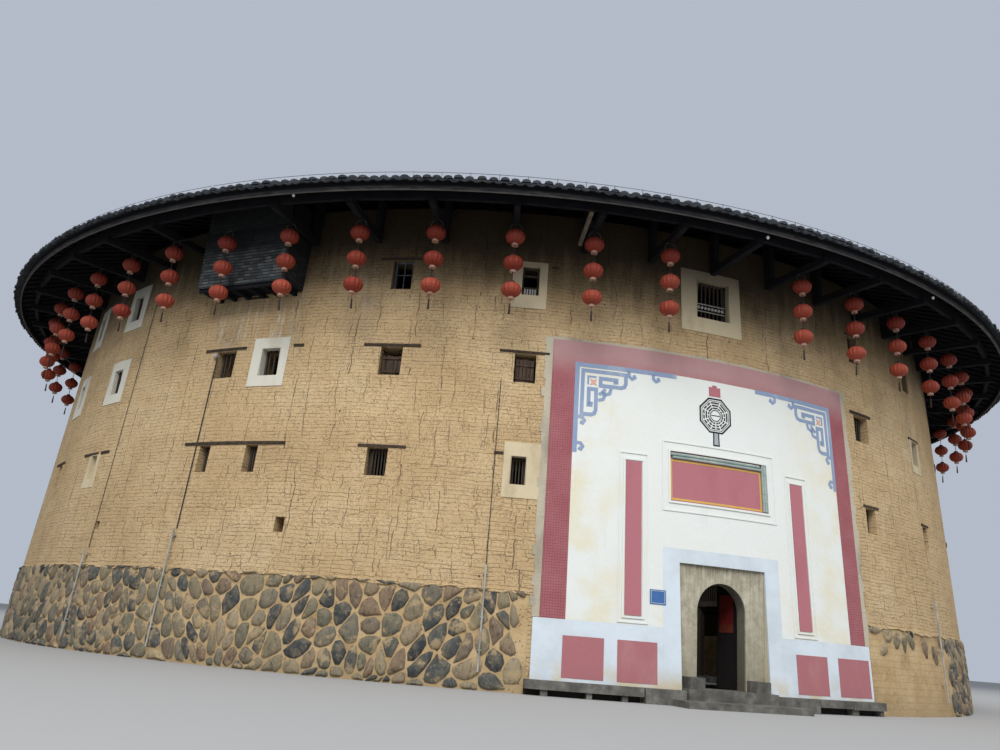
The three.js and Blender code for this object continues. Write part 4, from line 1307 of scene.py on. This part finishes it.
def ribbon(bm, points, width, lift=PAINT, closed=False, longest=0.25):
    """A flat line of a width through points (x, z), with mitred corners."""
    points = [Vector(p) for p in points]
    ends = list(zip(points, points[1:] + points[:1])) if closed else list(zip(points, points[1:]))
    fine = []
    for a, b in ends:
        parts = max(1, math.ceil((b - a).length / longest))
        fine += [a.lerp(b, k / parts) for k in range(parts)]
    if not closed:
        fine.append(points[-1])
    count, sides = len(fine), []
    for k, point in enumerate(fine):
        before = fine[k - 1] if k or closed else point
        after = fine[(k + 1) % count] if k < count - 1 or closed else point
        first = (point - before).normalized() if before != point else (after - point).normalized()
        second = (after - point).normalized() if after != point else first
        mitre = (first + second).normalized()
        normal = Vector((-mitre.y, mitre.x)) * (width / 2 / max(mitre.dot(second), 0.5))
        sides.append([bm.verts.new((spot.x, SUNK, spot.y)) for spot in (point + normal, point - normal)])
    for vert in extruded(bm, [bm.faces.new((*sides[k], *reversed(sides[(k + 1) % count])))
                              for k in range(count if closed else count - 1)]):
        vert.co.y = -lift


def patch(bm, left, right_edge, foot, top, lift=PAINT, deep=SUNK, longest=0.3):
    """A rectangle in metres along the wall, cut into strips so that it can be rolled on."""
    columns = max(1, math.ceil((right_edge - left) / longest))
    rows = max(1, math.ceil((top - foot) / (2 * longest)))
    xs = [left + (right_edge - left) * k / columns for k in range(columns + 1)]
    zs = [foot + (top - foot) * k / rows for k in range(rows + 1)]
    grid = [[bm.verts.new((x, deep, z)) for z in zs] for x in xs]
    faces = [bm.faces.new((grid[i][j], grid[i + 1][j], grid[i + 1][j + 1], grid[i][j + 1]))
             for i in range(columns) for j in range(rows)]
    for vert in extruded(bm, faces):
        vert.co.y = -lift


def upright(left, right_edge, foot, top):
    """The corners of an upright rectangle."""
    return [(left, foot), (right_edge, foot), (right_edge, top), (left, top)]


def painted(name, bm, material, proud=PANEL_PROUD):
    """Rolls a flat piece onto the wall and finishes it."""
    roll(bm, proud)
    finish_piece(name, bm, material)


def painted_patches(name, patches, material):
    """A piece of flat rectangles."""
    bm = bmesh.new()
    for size in patches:
        patch(bm, *size)
    painted(name, bm, material)


# %% Plaster colours
FIELD_EDGE, FIELD_TOP = 12.8, 8.08
BORDER_EDGE, BORDER_TOP = 14.7, 8.69
ARCH_FACE = -18.75


def entrance_white():
    r = Recipe("entrance_white", roughness=0.9, specular=0.2)
    z, bearing = real_height(r), bearing_of(r)
    stain = r.step(r.noise(1.6, 5, 0.62), 0.42, 0.72)
    near_side = r.step(r.math("ABSOLUTE", bearing), 6.0, 12.8, 0.1, 0.8)
    near_edge = r.math("MAXIMUM", r.step(z, 1.4, 3.0, 0.8, 0.0), near_side)
    colour = r.mix(r.times(stain, near_edge), (0.69, 0.705, 0.665), (0.66, 0.59, 0.38))
    runs = r.noise(1.0, 4, 0.6, r.scaled((10, 10, 0.6)))
    colour = r.mix(r.step(runs, 0.60, 0.76, 0.0, 0.18), colour, (0.52, 0.50, 0.44))
    colour = r.mix(r.times(r.dots(2.4, 0.0, 0.035), 0.7), colour, (0.30, 0.27, 0.22))
    return r.done(colour, r.bump(r.noise(12, 5, 0.65), 0.005))


def rose_border():
    r = Recipe("rose_border", roughness=0.9, specular=0.2)
    z, bearing = real_height(r), bearing_of(r)
    sides = r.step(r.math("ABSOLUTE", bearing), FIELD_EDGE - 0.05, FIELD_EDGE + 0.02)
    grid = r.times(r.math("MAXIMUM", r.lines(z, 0.066, 0.008), r.lines(bearing, 0.20, 0.024)),
                   r.times(sides, r.step(z, 7.2, 8.3, 1.0, 0.3)))
    colour = r.mix(r.step(r.noise(2.6, 5, 0.6), 0.30, 0.74), (0.32, 0.100, 0.110), (0.37, 0.135, 0.145))
    weathered = r.patchy(r.step(z, 7.6, 8.4), 1.3, 4, 0.34, 0.62, 0.66, 0.80)
    colour = r.mix(weathered, colour, (0.42, 0.27, 0.26))
    colour = r.mix(r.times(grid, 0.45), colour, (0.20, 0.07, 0.075))
    chips = r.step(r.noise(30, 4, 0.7), 0.62, 0.74, 0.0, 0.4)
    colour = r.mix(chips, colour, (0.60, 0.42, 0.38))
    return r.done(colour, r.bump(r.minus(r.noise(20, 4), grid), 0.004))


def pale_blue():
    r = Recipe("pale_blue_paint", roughness=0.9, specular=0.2)
    z = real_height(r)
    colour = r.mix(r.step(r.noise(2.2, 5, 0.6), 0.36, 0.7), (0.60, 0.66, 0.70), (0.52, 0.57, 0.60))
    foot = r.patchy(r.step(z, -0.05, 0.55, 0.8, 0.0), 3.0, 4, 0.35, 0.65)
    colour = r.mix(foot, colour, (0.55, 0.44, 0.26))
    return r.done(colour, r.bump(r.noise(14, 5, 0.65), 0.004))


def arch_stone():
    r = Recipe("arch_stone", roughness=0.88, specular=0.25)
    z = real_height(r)
    runs = r.noise(1.0, 5, 0.65, r.scaled((30, 30, 2.4)))
    mottled = r.plus(r.times(runs, 0.4), r.times(r.noise(6.5, 6, 0.68), 0.6))
    colour = r.ramp(mottled, (0.36, (0.265, 0.235, 0.165)), (0.50, (0.395, 0.360, 0.265)),
                    (0.64, (0.510, 0.475, 0.370)))
    colour = r.mix(r.step(z, 0.0, 2.0, 0.50, 0.0), colour, (0.22, 0.185, 0.125))
    colour = r.mix(r.step(r.noise(5, 5), 0.50, 0.72, 0.0, 0.4), colour, (0.17, 0.155, 0.115))
    drips = r.times(r.step(z, 2.5, 3.1), r.step(runs, 0.42, 0.60, 0.7, 0.15))
    colour = r.mix(drips, colour, (0.15, 0.13, 0.085))
    # Painted shade inside the arch, behind its face.
    reveal_shade = r.step(r.axes()["Y"], ARCH_FACE * HALF + 0.010, ARCH_FACE * HALF + 0.035, 0.0, 0.72)
    colour = r.mix(reveal_shade, colour, (0.065, 0.058, 0.044))
    return r.done(colour, r.bump(r.noise(36, 5, 0.7), 0.006))


def grey_stone():
    r = Recipe("grey_stone", roughness=0.9, specular=0.25)
    colour = r.ramp(r.noise(5, 5, 0.65), (0.28, (0.055, 0.051, 0.043)), (0.52, (0.125, 0.118, 0.102)),
                    (0.74, (0.245, 0.230, 0.200)))
    return r.done(colour, r.bump(r.noise(30, 5, 0.7), 0.008))


lime, cut_stone = entrance_white(), grey_stone()
board_rose = plaster("board_rose", (0.40, 0.150, 0.170), (0.33, 0.110, 0.130), 0.5)
for names, material in (
        (("door_jamb_left", "door_jamb_right"), plaster("jamb_plaster", (0.56, 0.50, 0.36), (0.40, 0.34, 0.22), 0.7)),
        (["entrance_field"], lime), (["entrance_border"], rose_border()), (["door_stone_arch"], arch_stone()),
        (("door_band", "dado_left", "dado_right"), pale_blue()),
        (("name_board", "couplet_board_left", "couplet_board_right"), board_rose),
        (("door_sill", "door_step", "door_block_left", "door_block_right", "courtyard_kerb"), cut_stone)):
    dress(names, material)

# %% Kerb slabs over a set-back rubble course
KERB_TOP, KERB_PROUD, SLAB_DEPTH = -0.051, 0.315, 0.205
kerb_blocks, kerb_rubble = bmesh.new(), bmesh.new()
for start, end, foot in ((-15.60, -7.05, KERB_TOP - SLAB_DEPTH), (-6.95, -3.82, -SILL), (3.82, 7.86, -SILL),
                         (7.94, 11.46, KERB_TOP - SLAB_DEPTH + 0.02), (11.54, 15.60, KERB_TOP - SLAB_DEPTH)):
    arc_strip(kerb_blocks, start, end, foot, KERB_TOP, KERB_PROUD, 0.05)
    if foot > -SILL:
        arc_strip(kerb_rubble, start, end, -SILL, foot, 0.06, 0.05)
for bearing, wide in ((-14.2, 0.5), (-11.0, 0.4), (-8.4, 0.4), (11.9, 0.7), (15.2, 0.4)):
    arc_strip(kerb_blocks, bearing - wide / 2, bearing + wide / 2, -SILL, KERB_TOP - SLAB_DEPTH + 0.01,
              KERB_PROUD - 0.06, 0.05)
kerb_slabs = finish_piece("kerb_slabs", kerb_blocks, cut_stone)
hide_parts("kerb_left", "kerb_right")
# The rubble under the slabs is near black: painted shade of the gap.
finish_piece("kerb_rubble", kerb_rubble, plain("rubble_painted_shade", (0.030, 0.026, 0.020), 0.95))

# %% Boards, mouldings and squares
white_lines, yellow_lines, bamboo = (bmesh.new() for _ in range(3))
for side in (-1, 1):
    left, right_edge = sorted((along(side * 7.05), along(side * 8.35)))
    foot, top = 1.60, 5.50
    for out, over, width, lift in ((0.05, 0.05, 0.05, 0.03), (0.17, 0.22, 0.035, 0.022)):
        ribbon(white_lines, upright(left - out, right_edge + out, foot - out, top + over), width, lift, closed=True)
ribbon(white_lines, upright(along(-5.2), along(5.3), 4.32, 6.17), 0.035, 0.02, closed=True)
ribbon(white_lines, upright(along(-4.66), along(4.66), 4.545, 5.94), 0.055, 0.028, closed=True)
painted("entrance_mouldings", white_lines, lime)
squares = [(along(left), along(right_edge), 0.03, 1.0)
           for left, right_edge in ((-12.95, -9.86), (-8.85, -5.76), (6.5, 9.8), (11.07, 14.9))]
painted_patches("rose_squares", squares, plaster("square_rose", (0.36, 0.140, 0.150), (0.43, 0.22, 0.21), 0.5))

plaque_left, plaque_right, plaque_foot, plaque_top = along(-4.55), along(4.55), 4.60, 5.89
BOARD_PROUD = 0.0205
left, right_edge, foot, top = plaque_left + 0.04, plaque_right - 0.19, plaque_foot + 0.035, plaque_top - 0.22
ribbon(yellow_lines, [(left, top), (left, foot), (right_edge, foot), (right_edge, top)], 0.05, 0.004, closed=True)
painted("plaque_border", yellow_lines, plaster("ochre_line", (0.58, 0.36, 0.09), (0.46, 0.27, 0.07)),
        BOARD_PROUD)

BAMBOO_JOINT, BAMBOO_BACK = 0.26, 0.045
SIDE_JOINTS = 5


def cane(spot, turn, radius, length, end):
    """One length of bamboo against the board, with a knot at its end."""
    axes = Matrix.Translation((spot[0], BAMBOO_BACK - radius, spot[1])) @ turn
    cone(bamboo, 10, radius, radius, length * 0.94, axes)
    cone(bamboo, 10, radius * 1.18, radius * 1.18, 0.02, Matrix.Translation(end) @ axes)


width = plaque_right - plaque_left
count = round(width / BAMBOO_JOINT)
for rank, (rise, radius) in enumerate(((0.055, 0.042), (0.135, 0.036))):
    for k in range(count):
        x = plaque_left + (k + 0.5) * width / count + 0.06 * rank
        if x + width / count / 2 <= plaque_right:
            cane((x, plaque_top - rise), Matrix.Rotation(math.pi / 2, 4, "Y"), radius, width / count,
                 (width / count / 2, 0, 0))
tall = (plaque_top - plaque_foot) / SIDE_JOINTS
for inset, radius in ((0.045, 0.040), (0.115, 0.034)):
    for k in range(SIDE_JOINTS):
        cane((plaque_right - inset, plaque_foot + (k + 0.5) * tall), Matrix(), radius, tall, (0, 0, tall / 2))
painted("plaque_bamboo", bamboo, plaster("bamboo_paint", (0.27, 0.34, 0.31), (0.54, 0.56, 0.48), 0.8))

# %% Fret corners
SPIRAL = [(1.08, 0.47), (1.17, 0.46), (1.17, 0.395), (0.72, 0.395), (0.72, 0.60), (1.30, 0.60), (1.40, 0.56),
          (1.44, 0.47), (1.44, 0.21), (0.22, 0.21)]
HOOKS = [[(1.52, 0.08), (1.54, 0.24), (1.62, 0.30), (1.70, 0.25), (1.67, 0.18)],
         [(2.24, 0.08), (2.25, 0.22), (2.33, 0.28), (2.41, 0.23), (2.38, 0.16)],
         [(1.02, 0.66), (0.98, 0.80), (0.88, 0.84), (0.80, 0.76), (0.86, 0.68)]]
fret, star = bmesh.new(), bmesh.new()
for side in (-1, 1):

    def corner(x, down, side=side):
        return side * (along(FIELD_EDGE) - x), FIELD_TOP - down

    ribbon(fret, [corner(2.95, 0.045), corner(0.06, 0.055), corner(0.055, 2.50)], 0.125)
    whole = SPIRAL + [(y, x) for x, y in reversed(SPIRAL[:-1])]
    ribbon(fret, [corner(x, y) for x, y in whole], 0.105)
    ribbon(fret, [corner(x, y) for x, y in ((0.37, 0.60), (0.37, 0.37), (0.60, 0.37))], 0.05)
    for hook in HOOKS:
        ribbon(fret, [corner(x, y) for x, y in hook], 0.09)
        ribbon(fret, [corner(y, x) for x, y in hook], 0.09)
    centre = corner(0.52, 0.52)
    points = []
    for k in range(8):
        turn, reach = k * math.pi / 4, 0.14 if k % 2 else 0.06
        points.append((centre[0] + reach * math.sin(turn), centre[1] + reach * math.cos(turn)))
    face = star.faces.new([star.verts.new((x, SUNK, z)) for x, z in points])
    for vert in extruded(star, [face]):
        vert.co.y = -0.010
painted("fret_corners", fret, plaster("fret_blue", (0.235, 0.300, 0.425), (0.40, 0.45, 0.52), 0.8))
painted("fret_stars", star, plaster("star_orange", (0.62, 0.36, 0.27), (0.66, 0.50, 0.40), 0.7))

# %% Octagon over the plaque
dark_lines = bmesh.new()
EIGHT_X, EIGHT_Z, EIGHT_R = along(-0.29), 7.09, 0.52


def octagon(radius):
    return [(EIGHT_X + radius * math.sin((k + 0.5) * math.pi / 4), EIGHT_Z + radius * math.cos((k + 0.5) * math.pi / 4))
            for k in range(8)]


ribbon(dark_lines, octagon(EIGHT_R), 0.045, closed=True)
ribbon(dark_lines, octagon(EIGHT_R - 0.065), 0.014, closed=True)
ribbon(dark_lines, octagon(0.165), 0.022, closed=True)
TRIGRAMS = (0b111, 0b110, 0b101, 0b100, 0b000, 0b001, 0b010, 0b011)
for k, lines in enumerate(TRIGRAMS):
    turn = k * math.pi / 4
    out, beside = Vector((math.sin(turn), math.cos(turn))), Vector((math.cos(turn), -math.sin(turn)))
    for n in range(3):
        reach = 0.215 + 0.075 * n
        middle, half_line = Vector((EIGHT_X, EIGHT_Z)) + out * reach, 0.35 * reach
        spans = [(-half_line, half_line)] if lines >> n & 1 else [(-half_line, -0.018), (0.018, half_line)]
        for start, end in spans:
            ribbon(dark_lines, [middle + beside * start, middle + beside * end], 0.040)
ribbon(dark_lines, [(EIGHT_X - 0.13, EIGHT_Z), (EIGHT_X + 0.13, EIGHT_Z)], 0.024)
handle_top = EIGHT_Z - EIGHT_R + 0.03
ribbon(dark_lines, [(EIGHT_X - 0.075, handle_top), (EIGHT_X - 0.085, 6.24), (EIGHT_X + 0.085, 6.24),
                    (EIGHT_X + 0.075, handle_top)], 0.036)
painted("octagon_lines", dark_lines, plaster("ink_black", (0.020, 0.020, 0.022), (0.07, 0.066, 0.062)))
painted_patches("octagon_handle", [(EIGHT_X - 0.07, EIGHT_X + 0.07, 6.26, handle_top, 0.005)],
                plaster("handle_grey", (0.34, 0.37, 0.38), (0.45, 0.46, 0.44)))
painted_patches("rose_seal", [(EIGHT_X - 0.185, EIGHT_X + 0.185, 7.64, 7.91),
                              (EIGHT_X - 0.07, EIGHT_X + 0.07, 7.915, 7.97)], board_rose)
painted_patches("number_plate", [(along(-6.35), along(-5.05), 1.91, 2.27, 0.012)],
                plain("plate_blue", (0.045, 0.13, 0.33), 0.45, 0.4, 0.1))
blue_rim = bmesh.new()
ribbon(blue_rim, upright(along(-6.25), along(-5.15), 1.94, 2.24), 0.01, 0.016, closed=True)
painted("number_plate_line", blue_rim, white_lime)

# %% Grey render beside the border
STRIPS, STRIP_FOOT, STRIP_TALL = 30, 1.38, 0.246
TOP_PATCHES = 34
grey_strip = bmesh.new()
rng = random.Random(8)
for side, reach in ((-1, 15.35), (1, 15.45)):
    for k in range(STRIPS):
        z = STRIP_FOOT + k * STRIP_TALL
        edge = along(reach) + rng.uniform(-0.04, 0.05)
        left, right_edge = sorted((side * (along(BORDER_EDGE) + 0.004), side * edge))
        patch(grey_strip, left, right_edge, z, z + STRIP_TALL, 0.022, 0.03)
for k in range(TOP_PATCHES):
    left = along(-BORDER_EDGE) + k * along(2 * BORDER_EDGE) / TOP_PATCHES
    patch(grey_strip, left, left + along(2 * BORDER_EDGE) / TOP_PATCHES, BORDER_TOP + 0.004,
          BORDER_TOP + 0.07 + rng.uniform(0, 0.05), 0.016, 0.03)
painted("grey_render", grey_strip, plaster("grey_render", (0.46, 0.41, 0.31), (0.27, 0.23, 0.17), 0.8, 0.014),
        0.0)

# %% Red paper on the right door leaf
PIVOT, LEAF_OPEN, LEAF_HALF_DEPTH = (0.81, -18.31), 80, 0.03
leaf_axes = Matrix.Translation((*PIVOT, SILL)) @ Matrix.Rotation(math.radians(-LEAF_OPEN), 4, "Z")
for name, foot, top, colour in (("red_paper", 1.63, 2.38, (0.15, 0.009, 0.007)),
                                ("orange_paper", 1.42, 1.63, (0.14, 0.026, 0.011))):
    paper = bmesh.new()
    block(paper, (0.52, 0.004, top - foot), leaf_axes, (-0.44, -LEAF_HALF_DEPTH - 0.003, (foot + top) / 2))
    finish_piece(name, paper, plain(name, colour, 0.7), "door_leaf_right")

# %% [markdown]
# ## Rails of the galleries
#
# Inside, a timber gallery runs round the courtyard on each upper storey. The frame has its hand rails. The
# lower rails are flat rings with one corner at each post, and the upright balusters between the rails are one
# short post, repeated along every bay.

# %% Lower rails and balusters
BAYS = 29
BAY_STEP = 360 / BAYS
RAIL_RADIUS = 12.18
BALUSTERS = 13
GALLERY_FLOORS = (3.40, 6.20, 8.95)
RAIL_FOOT, RAIL_TOP = 0.10, 0.85

lower_rails = bmesh.new()
for level in GALLERY_FLOORS:
    spun_ring(lower_rails, upright(RAIL_RADIUS - 0.04, RAIL_RADIUS + 0.04, level - 0.14, level + RAIL_FOOT), BAYS)
finish_piece("gallery_lower_rails", lower_rails, grey_wood)

spots = []
for level in GALLERY_FLOORS:
    for bay in range(BAYS):
        start, end = (place(RAIL_RADIUS, (bay + k) * BAY_STEP, level + (RAIL_FOOT + RAIL_TOP) / 2) for k in (0, 1))
        for k in range(BALUSTERS):
            middle = start.lerp(end, (k + 1) / (BALUSTERS + 1))
            spots.append(Matrix.Translation(middle) @ ring_turn((bay + 0.5) * BAY_STEP))
bm = bmesh.new()
block(bm, (0.045, 0.045, RAIL_TOP - RAIL_FOOT))
add_mesh("gallery_balusters", repeat(bm, spots), grey_wood)

# %% [markdown]
# ## Small fittings
#
# Thin dark cables run down the wall into pale pipes, small lamps hang under the eaves, and a fine wire on short
# pins runs round the edge of the roof. They are slim cylinders, boxes and rings, laid along the leaning wall by
# the same axes as the windows.

# %% Cables, pipes, lamps and the wire on the roof
cables, pipes, lamps = (bmesh.new() for _ in range(3))


def run_down(bm, bearing, top, foot, thick, proud):
    """A straight round run along the wall between two heights."""
    cone(bm, 6, thick / 2, thick / 2, top - foot, seat(bearing, (top + foot) / 2, proud))


for bearing, top, foot, thick in ((-57.3, 10.3, 2.43, 0.018), (-45.8, 8.0, 3.0, 0.034), (-18.9, 7.4, 2.5, 0.020)):
    run_down(cables, bearing, top, foot, thick, 0.020)
for bearing, top, foot in ((-57.3, 2.43, -0.1), (-45.8, 3.0, -0.1), (-18.9, 2.5, 0.0), (28.6, 3.0, 0.0)):
    run_down(pipes, bearing, top, foot, 0.048, 0.125)
    for z in (foot + 0.5, (top + foot) / 2, top - 0.2):
        block(pipes, (0.09, 0.13, 0.03), seat(bearing, z, 0.06))
for bearing, z in ((-35.2, 11.62), (0.1, 11.54), (18.5, 11.56)):
    axes = Matrix.Translation(place(20.85, bearing, z))
    cone(lamps, 12, 0.045, 0.022, 0.06, axes)
    bmesh.ops.create_uvsphere(lamps, u_segments=12, v_segments=8, radius=0.032,
                              matrix=axes @ Matrix.Translation((0, 0, -0.04)))
finish_piece("wall_cables", cables, plain("cable_black", (0.030, 0.028, 0.027), 0.6))
finish_piece("wall_pipes", pipes, plain("pipe_grey", (0.40, 0.39, 0.35), 0.5, 0.4, 0.4, 5))
finish_piece("eaves_lamps", lamps, plain("lamp_white", (0.74, 0.74, 0.72), 0.4, 0.4, 0.1), smooth=True)

WIRE_RADIUS, WIRE_HEIGHT = 21.10, 12.02
WIRE_PINS = 180
roof_wire = bmesh.new()
spun_ring(roof_wire, [(WIRE_RADIUS - 0.008, WIRE_HEIGHT), (WIRE_RADIUS, WIRE_HEIGHT - 0.008),
                      (WIRE_RADIUS + 0.008, WIRE_HEIGHT), (WIRE_RADIUS, WIRE_HEIGHT + 0.008)], steps=WIRE_PINS)
for k in range(WIRE_PINS):
    pin = place(WIRE_RADIUS, k * 360 / WIRE_PINS, WIRE_HEIGHT - 0.10)
    block(roof_wire, (0.014, 0.014, 0.24), Matrix.Translation(pin))
finish_piece("roof_wire", roof_wire, plain("wire_steel", (0.20, 0.20, 0.21), 0.4, 0.5, 0.2, 14, 0.8))
